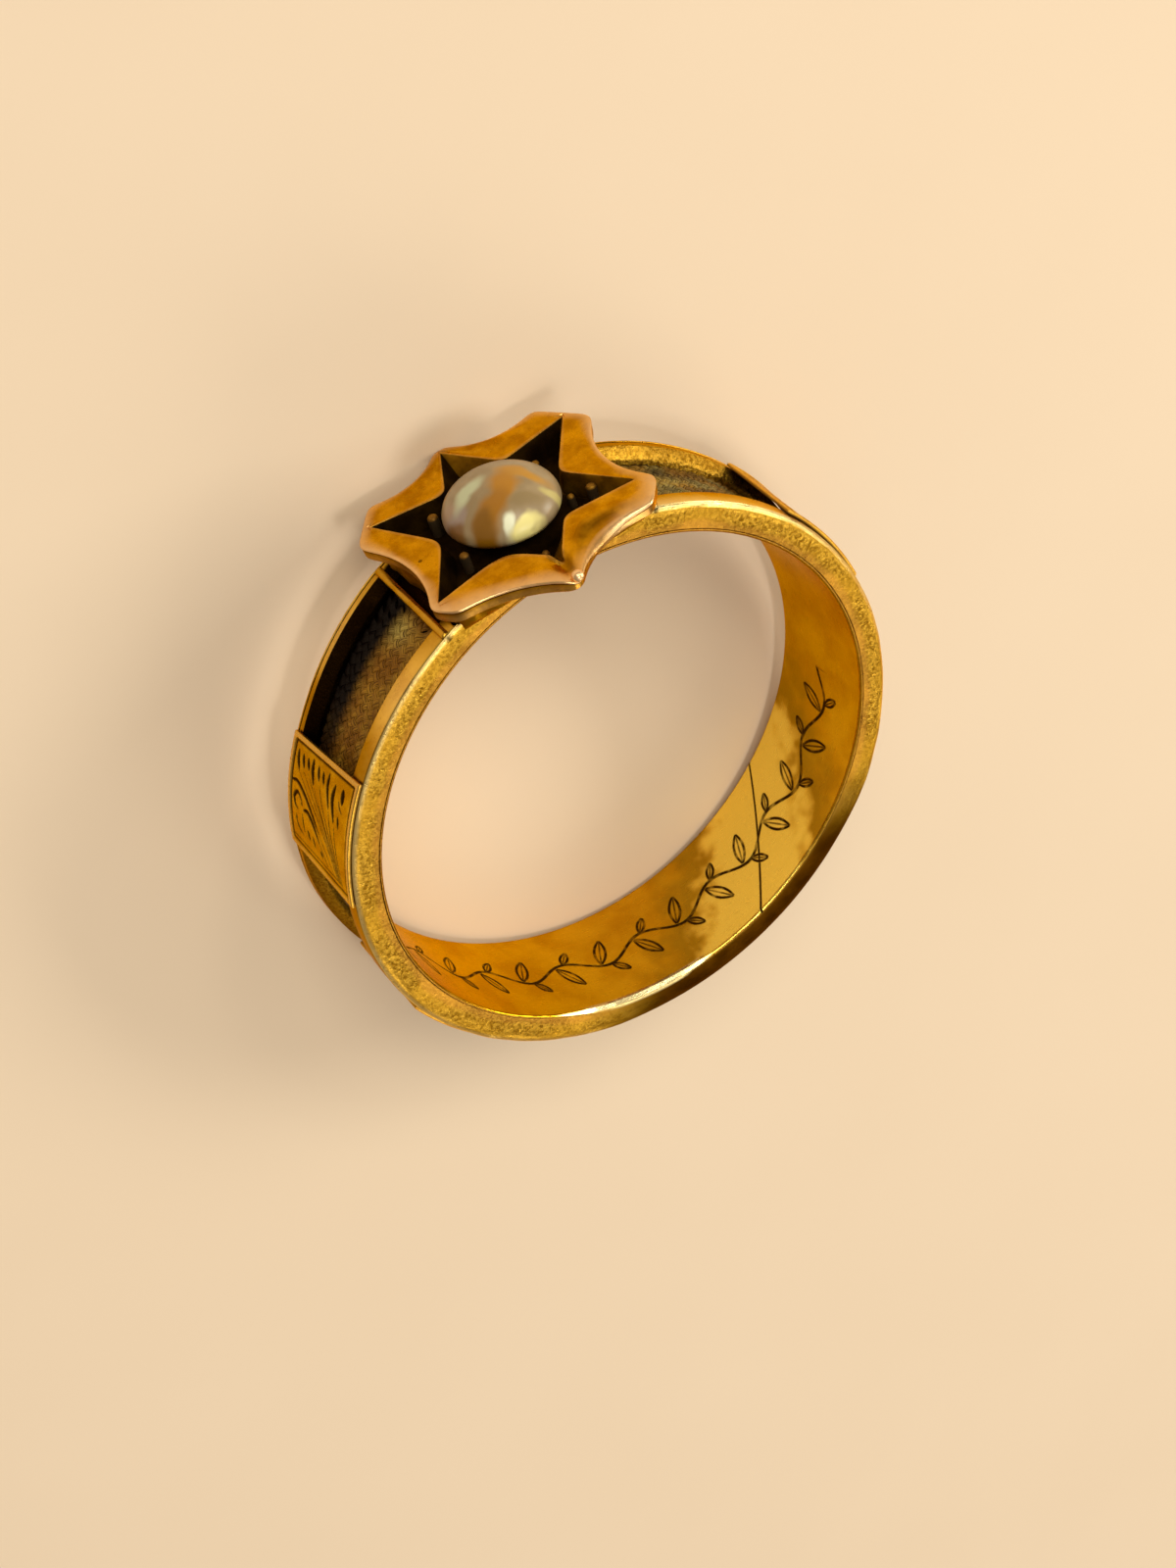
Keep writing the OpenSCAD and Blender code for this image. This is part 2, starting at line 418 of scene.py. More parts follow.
# %% Group: filed face
filed_face, s, given = new_group(
    "filed_face",
    [("Upright", "Vector"), ("Wrapped", "Vector")],
    {"Height": "Float", "Roughness": "Float", "Color": "Color"},
)
teeth = s.speckle(s.stretch(given["Wrapped"], (1.0, 1.0, 0.45)), 9.0, 4, 0.62, 0.3)
grains = s.speckle(given["Upright"], 8.5, 5, 0.72)
slow = s.speckle(given["Upright"], 0.55, 2, 0.5)
axes = s.add("SeparateXYZ", {0: given["Wrapped"]})
wavering_out = (slow - 0.5) * 0.5 + axes[2]
by_bore = s.ramp(wavering_out, 8.74, 8.98, 1.0, 0.0)
by_rim = s.ramp(wavering_out, 9.18, 9.34) * s.ramp(axes[1], 0, 1)
calm = (1.0 - by_rim * 0.55) * (1.0 - by_bore * 0.4)
ridges = (teeth * 0.5 + grains * 0.6) * s.ramp(slow, 0.38, 0.6, 0.45, 1.0) * calm
tint = s.coats(
    s.mix(s.ramp(grains, 0.36, 0.62), (0.30, 0.135, 0.006, 1), (0.84, 0.49, 0.055, 1)),
    (s.ramp(slow, 0.35, 0.6, 0.6, 0.0), (0.58, 0.31, 0.025, 1)),
    (by_rim * 0.6, (0.80, 0.46, 0.055, 1)),
    (by_bore * 0.6, (0.44, 0.20, 0.035, 1)),
)
s.put_out(Height=ridges, Roughness=s.ramp(teeth, 0.3, 0.7, 0.26, 0.42), Color=tint)

# %% [markdown]
# Inside the bore the real ring is engraved. Here a plain running vine stands in that place: a
# thin stem that swings from side to side, with a large and a small leaf in each bend. It is one
# repeat in numbers, the stem as a sine and each leaf as a lens with its midrib.

# %% Group: engraved vine
HALF_HOOP = math.pi * RAIL_R
VINE_REPEAT = 2 * HALF_HOOP / 18  # a whole number of repeats goes round the hoop
VINE_SWING = 0.34
VINE_END = 12.0  # half the engraved stretch, which lies opposite the head
engraved_vine, s, given = new_group(
    "engraved_vine", [("Around", "Float"), ("Across", "Float")], {"Cut": "Float"}
)
vine_along, vine_across = given["Around"], given["Across"]
swing = s.math("SINE", vine_along * (2 * math.pi / VINE_REPEAT)) * VINE_SWING
stem = s.ramp(abs(vine_across - swing), 0.045, 0.085, 1.0, 0.0)
bend = vine_along / (VINE_REPEAT / 2)
in_bend = s.math("FRACT", bend) * (VINE_REPEAT / 2)
# every second bend is drawn the other way up
flipped = vine_across * (s.math("FLOORED_MODULO", s.math("FLOOR", bend), 2.0) * 2.0 - 1.0)


def leaf_mask(at_x, at_y, lean, half_long, half_wide):
    """A lens-shaped outline with its midrib, in the bend's own flat place."""
    along, off = turned(in_bend - at_x, flipped - at_y, lean)
    share = along / half_long
    room = (1.0 - share * share) * half_wide
    outline_cut = s.ramp(abs(abs(off) - room), 0.03, 0.07, 1.0, 0.0)
    midrib = s.ramp(abs(off), 0.015, 0.045, 0.8, 0.0)
    return s.math("MAXIMUM", outline_cut, midrib) * s.ramp(abs(share), 0.95, 1.05, 1.0, 0.0)


large_leaf = leaf_mask(0.82, 0.34, 62, 0.62, 0.2)
small_leaf = leaf_mask(1.12, -0.62, -50, 0.36, 0.13)
whole_vine = s.math("MAXIMUM", stem, s.math("MAXIMUM", large_leaf, small_leaf))
within = s.ramp(abs(abs(vine_along) - HALF_HOOP), VINE_END, VINE_END + 0.2, 1.0, 0.0)
hand_place = s.add("CombineXYZ", {0: vine_along, 1: vine_across})[0]
pressure = s.ramp(s.speckle(hand_place, 2.5, 2), 0.3, 0.55, 0.55, 1.0)
s.put_out(Cut=whole_vine * within * pressure)
print("engraved_vine group:", len(engraved_vine.nodes), "nodes")


# %% Start of a material
def new_material(name):
    material = bpy.data.materials.new(name)
    material.use_nodes = True
    material.node_tree.nodes.clear()
    return material, Sheet(material.node_tree)


def on_hoop(sheet):
    return sheet.group(hoop_place, {"Object": sheet.add("TexCoord")["Object"]})


def file_marks(sheet, place):
    return sheet.group(filed_face, {"Upright": place["Upright"], "Wrapped": place["Wrapped"]})


def aged(sheet, place, patch_size, warm, bright, more=None):
    """The shared wear in a piece's own two golds."""
    inputs = {"Place": place["Upright"], "Patch Size": patch_size, "Warm": warm, "Bright": bright}
    return sheet.group(worn_gold, {**inputs, **(more or {})})


# %% [markdown]
# ## Polished gold of the liner
# The sleeve against the finger is the brightest metal of the ring. It was burnished smooth, and
# the finger has kept it so, with hair-fine lines that mostly run round the hoop. A joint crosses
# it where the strip was closed and soldered, and shows as one thin dark line. Round it a bright
# highlight is painted into the colour, with a painted olive shade on each side of it.

# %% Liner material
JOINT_AT = math.radians(-150.2) * RAIL_R  # round the hoop from the head's middle, at half width
JOINT_SLANT = -0.867  # how far the joint moves round the hoop for each millimetre across
polished_gold, m = new_material("polished_gold_liner")
place = on_hoop(m)
wear = aged(m, place, 0.5, (0.58, 0.28, 0.006, 1), (0.76, 0.42, 0.014, 1))
lines = m.group(scratches, {"Place": place["Wrapped"], "Stretch": (0.3, 2.0, 1.0)})["Lines"]
vine = m.group(engraved_vine, {"Around": place["Around"], "Across": place["Across"]})["Cut"]
filed = file_marks(m, place)
on_edge = m.ramp(abs(place["Across"]), HALF_W - 0.014, HALF_W - 0.004)
past_joint = place["Around"] - m.math("MULTIPLY_ADD", place["Across"], JOINT_SLANT, JOINT_AT)
cut = m.math("MAXIMUM", m.ramp(abs(past_joint), 0.03, 0.07, 1.0, 0.0), vine)
ragged = m.ramp(m.speckle(place["Upright"], 1.1, 2), 0.25, 0.75, -0.7, 0.7)
off_joint = abs(m.math("WRAP", past_joint, HALF_HOOP, -HALF_HOOP)) + ragged
# painted highlight in a stretch round the joint, and painted olive shade beside it on each side
painted_joint_highlight = m.ramp(off_joint, 2.0, 3.5, 1.0, 0.0)
painted_joint_shade = m.ramp(off_joint, 2.4, 3.6) * m.ramp(off_joint, 3.6, 6.0, 1.0, 0.0)
gold = m.coats(
    wear["Color"],
    (painted_joint_shade * 0.65, (0.30, 0.18, 0.010, 1)),
    (painted_joint_highlight * 0.95, (1.0, 0.74, 0.12, 1)),
    (on_edge, filed["Color"]),
    # the worn lip is painted pale, for wear and its highlight
    (m.stored("rubbed_and_highlight") * 0.85, (1.0, 0.86, 0.48, 1)),
    (cut, (0.045, 0.020, 0.004, 1)),
)
shine = m.between(on_edge, m.ramp(lines, 0.35, 0.75, 0.2, 0.3), filed["Roughness"])
relief = m.between(on_edge, lines * 0.12, filed["Height"]) - cut * 0.3
m.shade(
    {
        "Base Color": gold,
        "Metallic": 1.0,
        "Specular Tint": (1.0, 0.70, 0.22, 1),
        "Roughness": shine + cut * 0.4,
        "Normal": m.bump(relief, 0.14, 0.6),
    }
)

# %% [markdown]
# ## Filed gold of the band
# The side faces and the rails' inner walls keep the file's sparkle, while the rails' tops and the
# bars were rubbed smoother. Both are one metal. The mesh value filed tells the faces from the
# tops. Another value marks the stretch of the back that years of use have made smooth, where a dark
# brown reflection is painted into the colour, another the stretches of the tops that carry a painted
# darker, redder reflection, and another the pale corners, which are worn and carry a painted highlight.

# %% Band material
filed_gold, m = new_material("filed_gold_band")
place = on_hoop(m)
low, worn_and_dark_reflection = m.stored("hollow"), m.stored("worn")
wear = aged(m, place, 0.9, (0.70, 0.36, 0.020, 1), (0.94, 0.58, 0.075, 1), {"Grime Amount": low})
filed = file_marks(m, place)
file_share = m.stored("filed") * m.ramp(worn_and_dark_reflection, 0, 1, 1.0, 0.25, smooth=False)
# painted dark reflection: the worn stretch of the back is painted dark brown
painted_dark_reflection = worn_and_dark_reflection * m.ramp(place["Out"], 8.62, 8.7, 0.9, 1.0)
gold = m.coats(
    wear["Color"],
    (file_share, filed["Color"]),
    # painted dark reflection: stretches of the rail tops turn darker and redder
    (m.stored("painted_dark_tops") * 0.85, (0.27, 0.11, 0.004, 1)),
    (painted_dark_reflection, m.mix(wear["Patches"], (0.034, 0.012, 0.001, 1), (0.075, 0.028, 0.0025, 1))),
    # pale paint on the worn corners and the bore's lip, for wear and highlight
    (m.stored("rubbed_and_highlight") * 0.8, (1.0, 0.80, 0.36, 1)),
    # near black for dirt in the seams and painted shade on the walls, the seat and the bars' undersides
    (m.ramp(low, 0, 0.95), (0.010, 0.004, 0.0006, 1)),
)
smooth = m.ramp(wear["Patches"], 0.0, 1.0, 0.24, 0.34)
m.shade(
    {
        "Base Color": gold,
        "Metallic": 1.0,
        "Specular Tint": (1.0, 0.62, 0.14, 1),
        "Roughness": m.between(file_share, smooth, filed["Roughness"]) + painted_dark_reflection * 0.12,
        "Normal": m.bump(filed["Height"], 0.11, m.ramp(file_share, 0, 1, 0.12, 0.8)),
    }
)

# %% [markdown]
# ## Satin gold of the star head
# The petals have a soft satin shine in deep amber. Their edges are paler where sleeves and gloves
# have rubbed them, most of all at the tips, and carry a painted highlight there too. The pocket is
# almost black with old dirt and painted shade. The mesh carries one value for the dirt and shade
# and one for the pale edge with its highlight.

# %% Star material
CASTING_PIT = (2.96, -FACE, 0.15)  # one small pit on the petal over the shoulder
star_gold, m = new_material("satin_gold_star")
place = on_hoop(m)
low, rubbed_and_highlight = m.stored("hollow"), m.stored("rubbed_and_highlight")
# the pocket's dirt and painted shade, near black
pocket_dirt_and_shade = {"Grime Amount": low, "Grime": (0.005, 0.002, 0.0008, 1)}
wear = aged(m, place, 1.3, (0.46, 0.195, 0.004, 1), (0.72, 0.35, 0.010, 1), pocket_dirt_and_shade)
cloud = m.speckle(place["Upright"], 3.0, 3, 0.6)
# the pale edge is wear with a painted highlight
pale_wear_and_highlight = m.math("MULTIPLY", rubbed_and_highlight, m.ramp(cloud, 0.25, 0.7, 0.8, 1.0), clamp=True)
pit_gap = m.add("VectorMath", {0: place["Upright"], 1: CASTING_PIT}, operation="DISTANCE")["Value"]
brushed = m.group(scratches, {"Place": place["Upright"], "Stretch": (1.0, 1.0, 0.4)})["Lines"]
gold = m.coats(
    wear["Color"],
    # near black in the pocket for dirt and painted shade, in the seam and on the claws' shafts
    (m.ramp(low, 0.78, 1.0, 0.0, 0.9), (0.004, 0.0016, 0.0006, 1)),
    (m.ramp(pit_gap, 0.04, 0.09, 0.75, 0.0), (0.05, 0.02, 0.004, 1)),
    (pale_wear_and_highlight, (0.95, 0.66, 0.36, 1)),
)
m.shade(
    {
        "Base Color": gold,
        "Metallic": m.ramp(low, 0.6, 1.0, 1.0, 0.4),
        "Specular Tint": (1.0, 0.66, 0.22, 1),
        "Specular IOR Level": m.ramp(low, 0.6, 1.0, 0.5, 0.05),
        "Roughness": m.ramp(cloud, 0.3, 0.7, 0.24, 0.34) + rubbed_and_highlight * 0.07 + low * 0.3,
        "Normal": m.bump(cloud + brushed, 0.03, 0.3),
    }
)

# %% [markdown]
# ## Engraved gold of the plaques
# The plaques are thin sheet with cuts made by a graver. The cuts hold dirt, and the metal between
# them is worn bright, most of all on the raised border. The mesh values hollow and rubbed tell
# how deep each point lies and where the border is.

# %% Plaque material
engraved_gold, m = new_material("engraved_gold_plaque")
place = on_hoop(m)
low = m.stored("hollow")
cut_dirt = {"Grime Amount": low, "Grime": (0.05, 0.018, 0.002, 1)}
wear = aged(m, place, 1.2, (0.56, 0.27, 0.008, 1), (0.78, 0.44, 0.030, 1), cut_dirt)
gold = m.coats(
    wear["Color"],
    (m.stored("rubbed_and_highlight") * 0.55, (0.96, 0.64, 0.22, 1)),
    (low * 0.85, (0.045, 0.016, 0.002, 1)),
)
grain = m.speckle(place["Upright"], 9.0, 3, 0.6)
m.shade(
    {
        "Base Color": gold,
        "Metallic": 1.0,
        "Specular Tint": (1.0, 0.66, 0.2, 1),
        "Roughness": m.ramp(grain, 0.3, 0.7, 0.22, 0.36) + low * 0.3,
        "Normal": m.bump(grain, 0.02, 0.3),
    }
)

# %% [markdown]
# ## Woven hair
# Each strand of the braid is a flat bundle of straight hairs. They shine along their length, and
# shade is painted nearly black between the bundles, under the crossings and along the strip's
# edges. The strands carry a map that runs along the bundle, so the fine hairs follow every bend of
# the weave.

# %% Hair material
woven_hair, m = new_material("woven_hair")
along_strand = m.add("UVMap", uv_map="strand")[0]
fibres = m.speckle(m.stretch(along_strand, (1.2, 34.0, 1.0)), 1.0, 3, 0.7)
tone = m.speckle(on_hoop(m)["Upright"], 0.9, 2, 0.6)
light_hair = m.mix(m.ramp(tone, 0.35, 0.65), (0.27, 0.115, 0.009, 1), (0.46, 0.25, 0.026, 1))
light_hair = m.mix(m.stored("dry"), light_hair, (0.52, 0.40, 0.10, 1))
hair_colour = m.mix(m.ramp(fibres, 0.34, 0.60), (0.060, 0.022, 0.002, 1), light_hair)
m.shade(
    {
        # painted shade from the mesh, nearly black
        "Base Color": m.mix(m.stored("hollow"), hair_colour, (0.004, 0.0015, 0.0008, 1)),
        "Roughness": m.ramp(fibres, 0.3, 0.7, 0.62, 0.45),
        "Specular IOR Level": 0.12,
        "Normal": m.bump(fibres, 0.02, 0.5),
    }
)

# %% [markdown]
# ## Nacre
# A pearl's colour comes from thin layers, so it drifts slowly over the surface: lavender grey on
# one side, a golden band over the crown and greenish cream on the other. A pale green sheen on the
# grey side and a greenish-white and a cream glint near the edge are painted highlights. Each cloud
# of colour is a soft oval at its own place, warped a little. A clear coat lays a soft gloss over them.

# %% Pearl material
pearl_nacre, m = new_material("pearl_nacre")
centred = m.add("Mapping", {"Vector": on_hoop(m)["Upright"], "Location": (0, FACE, 0)})[0]
drift = m.speckle(centred, 1.4, 2, 0.5)
warp = m.add("TexNoise", {"Vector": centred, "Scale": 1.1, "Detail": 2})["Color"]
warp = m.add("VectorMath", {0: warp, 1: (0.5, 0.5, 0.5)}, operation="SUBTRACT")[0]
warped = m.add("VectorMath", {0: warp, 1: (0.6, 0.6, 0.6), 2: centred}, operation="MULTIPLY_ADD")[0]
pearl_axes = m.add("SeparateXYZ", {0: warped})


def cloud_at(x, w, half_long, half_wide, lean, strength):
    """A soft oval cloud on the dome, at its place along the hoop and across the band."""
    along, off = turned(pearl_axes[0] - x, pearl_axes[2] - w, lean)
    along, off = along / half_long, off / half_wide
    return m.ramp(m.math("SQRT", along * along + off * off), 0.45, 1.2, strength, 0.0)


# along the hoop, across the band, half length, half width, lean and strength of each, and its colour
CLOUDS = [
    ((1.55, -0.35, 0.6, 0.45, 100, 0.8), (0.40, 0.27, 0.19, 1)),
    ((1.45, -0.05, 0.40, 0.34, 20, 0.8), (0.30, 0.24, 0.22, 1)),
    # painted highlight: a pale green sheen
    ((0.72, -0.36, 0.72, 0.34, 15, 1.0), (0.55, 0.60, 0.40, 1)),
    ((-0.18, 0.22, 0.80, 0.50, 60, 1.0), (0.46, 0.20, 0.003, 1)),
    ((-0.80, 0.10, 0.90, 0.26, 122, 0.95), (0.52, 0.25, 0.012, 1)),
    ((0.55, 0.72, 0.85, 0.46, 20, 1.0), (0.36, 0.15, 0.003, 1)),
    ((1.15, 0.98, 0.62, 0.44, 40, 1.0), (0.22, 0.095, 0.002, 1)),
    ((-0.40, 1.12, 0.60, 0.30, 155, 0.9), (0.28, 0.20, 0.09, 1)),
    ((1.72, 0.10, 0.45, 0.22, 95, 0.9), (0.19, 0.08, 0.008, 1)),
    ((-1.20, 1.15, 0.42, 0.22, 135, 0.8), (0.60, 0.52, 0.18, 1)),
    # painted highlights: a cream glint and a greenish-white glint near the edge
    ((0.10, 1.58, 0.62, 0.20, 176, 1.0), (0.88, 0.80, 0.30, 1)),
    ((0.37, 1.30, 0.32, 0.16, 24, 1.0), (0.86, 0.90, 0.66, 1)),
]
nacre_and_glints = m.mix(m.ramp(drift, 0.35, 0.65), (0.35, 0.26, 0.14, 1), (0.29, 0.21, 0.105, 1))
nacre_and_glints = m.coats(nacre_and_glints, *((cloud_at(*oval), colour) for oval, colour in CLOUDS))
m.shade(
    {
        "Base Color": nacre_and_glints,
        "Metallic": 0.0,
        "Roughness": m.ramp(drift, 0.3, 0.7, 0.34, 0.44),
        "Specular IOR Level": 0.45,
        "Coat Weight": 0.22,
        "Coat Roughness": 0.28,
        "Normal": m.bump(drift, 0.05, 0.2),
    }
)

# %% [markdown]
# ## The liner
# A strip of gold bent round and soldered. The band's side plates lap over its edges, so only a
# thin lip of it shows at each end of the bore, rubbed round on its inner edge and painted pale there
# for its highlight. Its section is drawn as a flat outline with soft corners, and spinning that
# outline round the axis gives the whole sleeve in one step.


# %% Spin a section round the bore
WHOLE_TURN = 2 * math.pi


def spun_outline(name, corners, soft, steps=256, start=0.0, sweep=WHOLE_TURN):
    """An outline of (radius, width) corners, softened and spun round the axis."""
    start_clean()
    bpy.ops.mesh.primitive_circle_add(vertices=len(corners), radius=MM, fill_type="NGON")
    piece = bpy.context.object
    piece.name = name
    place_points(piece, [(r, 0, w) for r, w in corners])
    with editing(piece):
        bpy.ops.mesh.bevel(offset=soft * MM, segments=3, affect="VERTICES", profile=0.5)
        if sweep == WHOLE_TURN:  # a closed hoop has no end faces
            bpy.ops.mesh.delete(type="ONLY_FACE")
            bpy.ops.mesh.select_all(action="SELECT")
        bpy.ops.mesh.spin(steps=steps, angle=sweep, center=(0, 0, 0), axis=(0, 0, -1))
        bpy.ops.mesh.select_all(action="SELECT")
        bpy.ops.mesh.remove_doubles(threshold=0.002 * MM)
        bpy.ops.mesh.normals_make_consistent(inside=False)
    piece.rotation_euler = (0, 0, start - math.pi / 2)
    return settled()


def spun_section(name, low_r, high_r, low_w, high_w, soft, steps=256, start=0.0, sweep=WHOLE_TURN):
    """A rectangle between two radii and two widths, spun round the axis."""
    corners = [(low_r, low_w), (high_r, low_w), (high_r, high_w), (low_r, high_w)]
    return spun_outline(name, corners, soft, steps, start, sweep)


# %% Wear that the liner and the band share
def angle_back(at):
    """Degrees round the hoop from the head's middle, towards the picture's right."""
    return np.degrees(np.arctan2(-at[:, 0], -at[:, 1])) % 360


def ease_corner(at, corner_r, amount, outward):
    """Cuts the near corner at a radius down along its diagonal. The amount varies round the hoop."""
    radius = np.hypot(at[:, 0], at[:, 1])
    apart = np.abs(radius - corner_r) + HALF_W - at[:, 2]
    cut = np.clip(amount - apart, 0, None) / 2
    at[:, :2] *= ((radius + outward * cut) / radius)[:, None]
    at[:, 2] -= cut
    return cut


def lip_wear(back):
    """The bore's near edge is worn round at the bottom of the hoop."""
    return (0.2 + 0.05 * swaying(np.radians(back) * 14, 0.4)) * ramp(back, 172, 184) * ramp(back, 222, 200)


FULL_WEAR = 0.02  # a corner cut down this far shows all its pale colour

# %% The sleeve
LIP_R = 8.605
LIP_W = 0.13
half_outline = [
    (LINER_R, HALF_W - LIP_W),
    (LIP_R, HALF_W - LIP_W),
    (LIP_R, HALF_W),
    (BORE_R + 0.07, HALF_W),
    (BORE_R + 0.022, HALF_W - 0.028),
    (BORE_R, HALF_W - 0.09),
    (BORE_R, HALF_W - 0.26),
]
liner = spun_outline("liner", half_outline + [(r, -w) for r, w in reversed(half_outline)], 0.014)
at = points_of(liner)
cut = ease_corner(at, BORE_R, lip_wear(angle_back(at)), 1)
place_points(liner, at)
mark(liner, cut / FULL_WEAR, "rubbed_and_highlight")
smooth_shade(liner)
lay_down(liner, "liner", polished_gold)

# %% [markdown]
# ## The channel band
# Two rails run round the sleeve with the hair between them. On the real ring the outer side of
# each rail is a separate thin plate, so a fine dark seam shows near the rail's outer corner, and
# the plate's own corner is rubbed round. The rails are spun, the flat under the head is cut with
# one bisect, and the seat and the two round bars are added in the same object.

# %% Rails with their seams
SIDE_PLATE = 0.07  # the plate's thickness
SEAM = 0.03
PLATE_R = LIP_R + 0.012  # the plate's inner edge, which laps over the liner's
SEAM_AT = HALF_W - SIDE_PLATE - SEAM
RAIL_LEAN = 0.26  # the far rail's inner wall leans out by this much at its top
RAIL_TOP = RAIL_R - 0.01
WALL_FOOT = 9.14
rails = []
for side, inner_edge, lean in ((-1, HALF_W - RAIL_W, RAIL_LEAN), (1, NEAR_EDGE, 0)):
    face_at, back_at = side * HALF_W, side * (HALF_W - SIDE_PLATE)
    plate = [(PLATE_R, back_at), (RAIL_R, back_at), (RAIL_R, face_at), (RAIL_R - 0.2, face_at)]
    plate += [(LIP_R + 0.16, face_at), (PLATE_R, face_at)]
    rails.append(spun_outline("side_plate", plate, 0.03))
    outer, inner = side * SEAM_AT, side * inner_edge
    rail = [(CHANNEL_R, outer), (RAIL_TOP, outer), (RAIL_TOP, inner + side * lean)]
    rails.append(spun_outline("rail", rail + [(WALL_FOOT, inner), (CHANNEL_R, inner)], 0.035))
    floor = sorted((side * (HALF_W - 0.03), side * (SEAM_AT - 0.03)))
    rails.append(spun_section("seam_floor", CHANNEL_R, RAIL_R - 0.1, *floor, 0.01))
inside = HALF_W - RAIL_W
seat = spun_section("seat", CHANNEL_R, 9.1, -inside, inside, 0.01, 48, -BAR_ANGLE, 2 * BAR_ANGLE)
band = join_into(rails[0], rails[1:] + [seat])

# %% Cut the flat under the head
with editing(band):
    bpy.ops.mesh.bisect(plane_co=(0, -SEAT * MM, 0), plane_no=(0, -1, 0), use_fill=True, clear_outer=True)
print("band points after the cut:", len(band.data.vertices))

# %% [markdown]
# The bars are short round wires with rounded ends, soldered between the rails where the hair
# stops. Each wire is a cylinder whose end edges are beveled round.


# %% Cross bars
BAR_X, BAR_Y = BAR_R * math.sin(BAR_ANGLE), -BAR_R * math.cos(BAR_ANGLE)
BAR_LENGTH = 2 * HALF_W - 0.16
WIRE_R = 0.145


def cross_bar(side):
    start_clean()
    place = (side * BAR_X * MM, BAR_Y * MM, 0)
    bpy.ops.mesh.primitive_cylinder_add(
        vertices=32, radius=WIRE_R * MM, depth=BAR_LENGTH * MM, location=place
    )
    bar = settled()
    with editing(bar):
        select_edges(bar, lambda at: abs(abs(at.z) - BAR_LENGTH / 2) < 0.01)
        bpy.ops.mesh.bevel(offset=0.08 * MM, segments=4, profile=0.5)
    return bar


band = join_into(band, [cross_bar(-1), cross_bar(1)])

# %% Wear on the lower back
at = points_of(band)
drawn = at.copy()  # the marks below are found on the points as they were drawn
radius = np.hypot(at[:, 0], at[:, 1])
turn = np.degrees(np.arctan2(at[:, 0], -at[:, 1]))  # degrees from the head's middle, to the left
off_head = np.abs(turn)
back = angle_back(at)
worn = ramp(back, 114, 142) * ramp(back, 214, 188)
worn = worn * worn * (3 - 2 * worn) * (at[:, 2] > 0)
at[:, 2] -= 0.13 * worn * ramp(radius, 8.72, RAIL_R) ** 2 * ramp(at[:, 2], 1.5, 2.0)
# the far rail draws in a little behind the head's shoulders
at[:, 2] += 0.22 * ramp(off_head, 24, 50) * ramp(off_head, 100, 75) * (at[:, 2] < -1.2)
# on the right the side plate's seam is rubbed shut and its corner is worn to a broad bevel, with a pale
# painted highlight on it
closed = ramp(back, 14, 19) * ramp(back, 125, 105)
in_corner = (radius > 9.2) & (np.abs(drawn[:, 2] - SEAM_AT) < 0.036)
at[:, 2] += (SEAM - 0.002) * closed * in_corner
corner_size = 0.09 + 0.09 * closed + 0.02 * swaying(np.radians(back) * 16, 2.4)
corner_cut = ease_corner(at, RAIL_R, corner_size, -1)
lip_cut = ease_corner(at, BORE_R, lip_wear(back), 1)
place_points(band, at)

# %% Mark the band's faces
FAR_WALL = (-1.875, -1.55)  # where the leaning wall lies across the band
BAR_REACH = 0.15  # a point this near a bar's middle line is part of the bar
across = np.abs(drawn[:, 2])
far_wall = (drawn[:, 2] > FAR_WALL[0]) & (drawn[:, 2] < FAR_WALL[1])
near_wall = (np.abs(drawn[:, 2] - NEAR_EDGE) < 0.03) & (radius < RAIL_R - 0.02)
in_seam = (np.abs(across - SEAM_AT - SEAM / 2) < SEAM / 2 + 0.012) & (radius < RAIL_R - 0.03)
in_seam |= np.abs(radius - RAIL_R + 0.1) < 0.015
in_seam &= (closed < 0.5) | (drawn[:, 2] < 0)
beside_bar = (off_head < 22.0) & (across < HALF_W - 0.14)
seat_top = (radius < 9.2) & (radius > 8.9) & (across < 1.65) & (off_head < 25)
# the far wall in the window beside the first plaque is painted near black for dirt and shade, the far
# walls elsewhere a little darker, and the near rail's inner wall, the seat's top and the floor beside
# the bars are painted dark as well
dark_side = ramp(turn, 12, 22) * ramp(turn, 70, 60)
lighter_side = ramp(turn, -70, -60) * (turn < 0)
band_dirt_and_shade = far_wall * (0.3 - 0.3 * lighter_side + 0.7 * dark_side) + 0.8 * near_wall
band_dirt_and_shade += 1.0 * (in_seam | seat_top) + 0.8 * beside_bar
# painted shade: each bar is darker towards its underside, so that it looks round
in_bar = np.hypot(np.abs(drawn[:, 0]) - BAR_X, drawn[:, 1] - BAR_Y) < BAR_REACH
mark(band, np.where(in_bar, np.clip((9.535 - radius) / 0.09, 0, 0.75), band_dirt_and_shade))
side_face = (across > HALF_W - 0.02) & (radius < RAIL_R - 0.012)
mark(band, side_face | far_wall, "filed")
mark(band, worn, "worn")
tops = (radius > RAIL_R - 0.06) & (across < HALF_W - 0.05)
by_bar = ramp(turn, 32, 25) * (turn > 0)
by_plaque = ramp(turn, 41, 49)
# painted dark reflection on the rail tops by the bar, from the first plaque on and on the right
mark(band, tops * np.maximum.reduce([0.5 * by_bar, 0.75 * by_plaque, 0.55 * closed]), "painted_dark_tops")
# pale paint for wear and highlight on the worn corners and the bore's lip, and a pale patch on the tops
pale_corner = corner_cut / FULL_WEAR * (0.5 + 0.5 * closed) * np.clip(1 - 1.5 * worn, 0, 1)
pale_top = 0.35 * hill(turn, 36, 7) * tops
mark(band, np.maximum.reduce([pale_corner, lip_cut / FULL_WEAR, pale_top]), "rubbed_and_highlight")
smooth_shade(band)
lay_down(band, "channel_band", filed_gold)

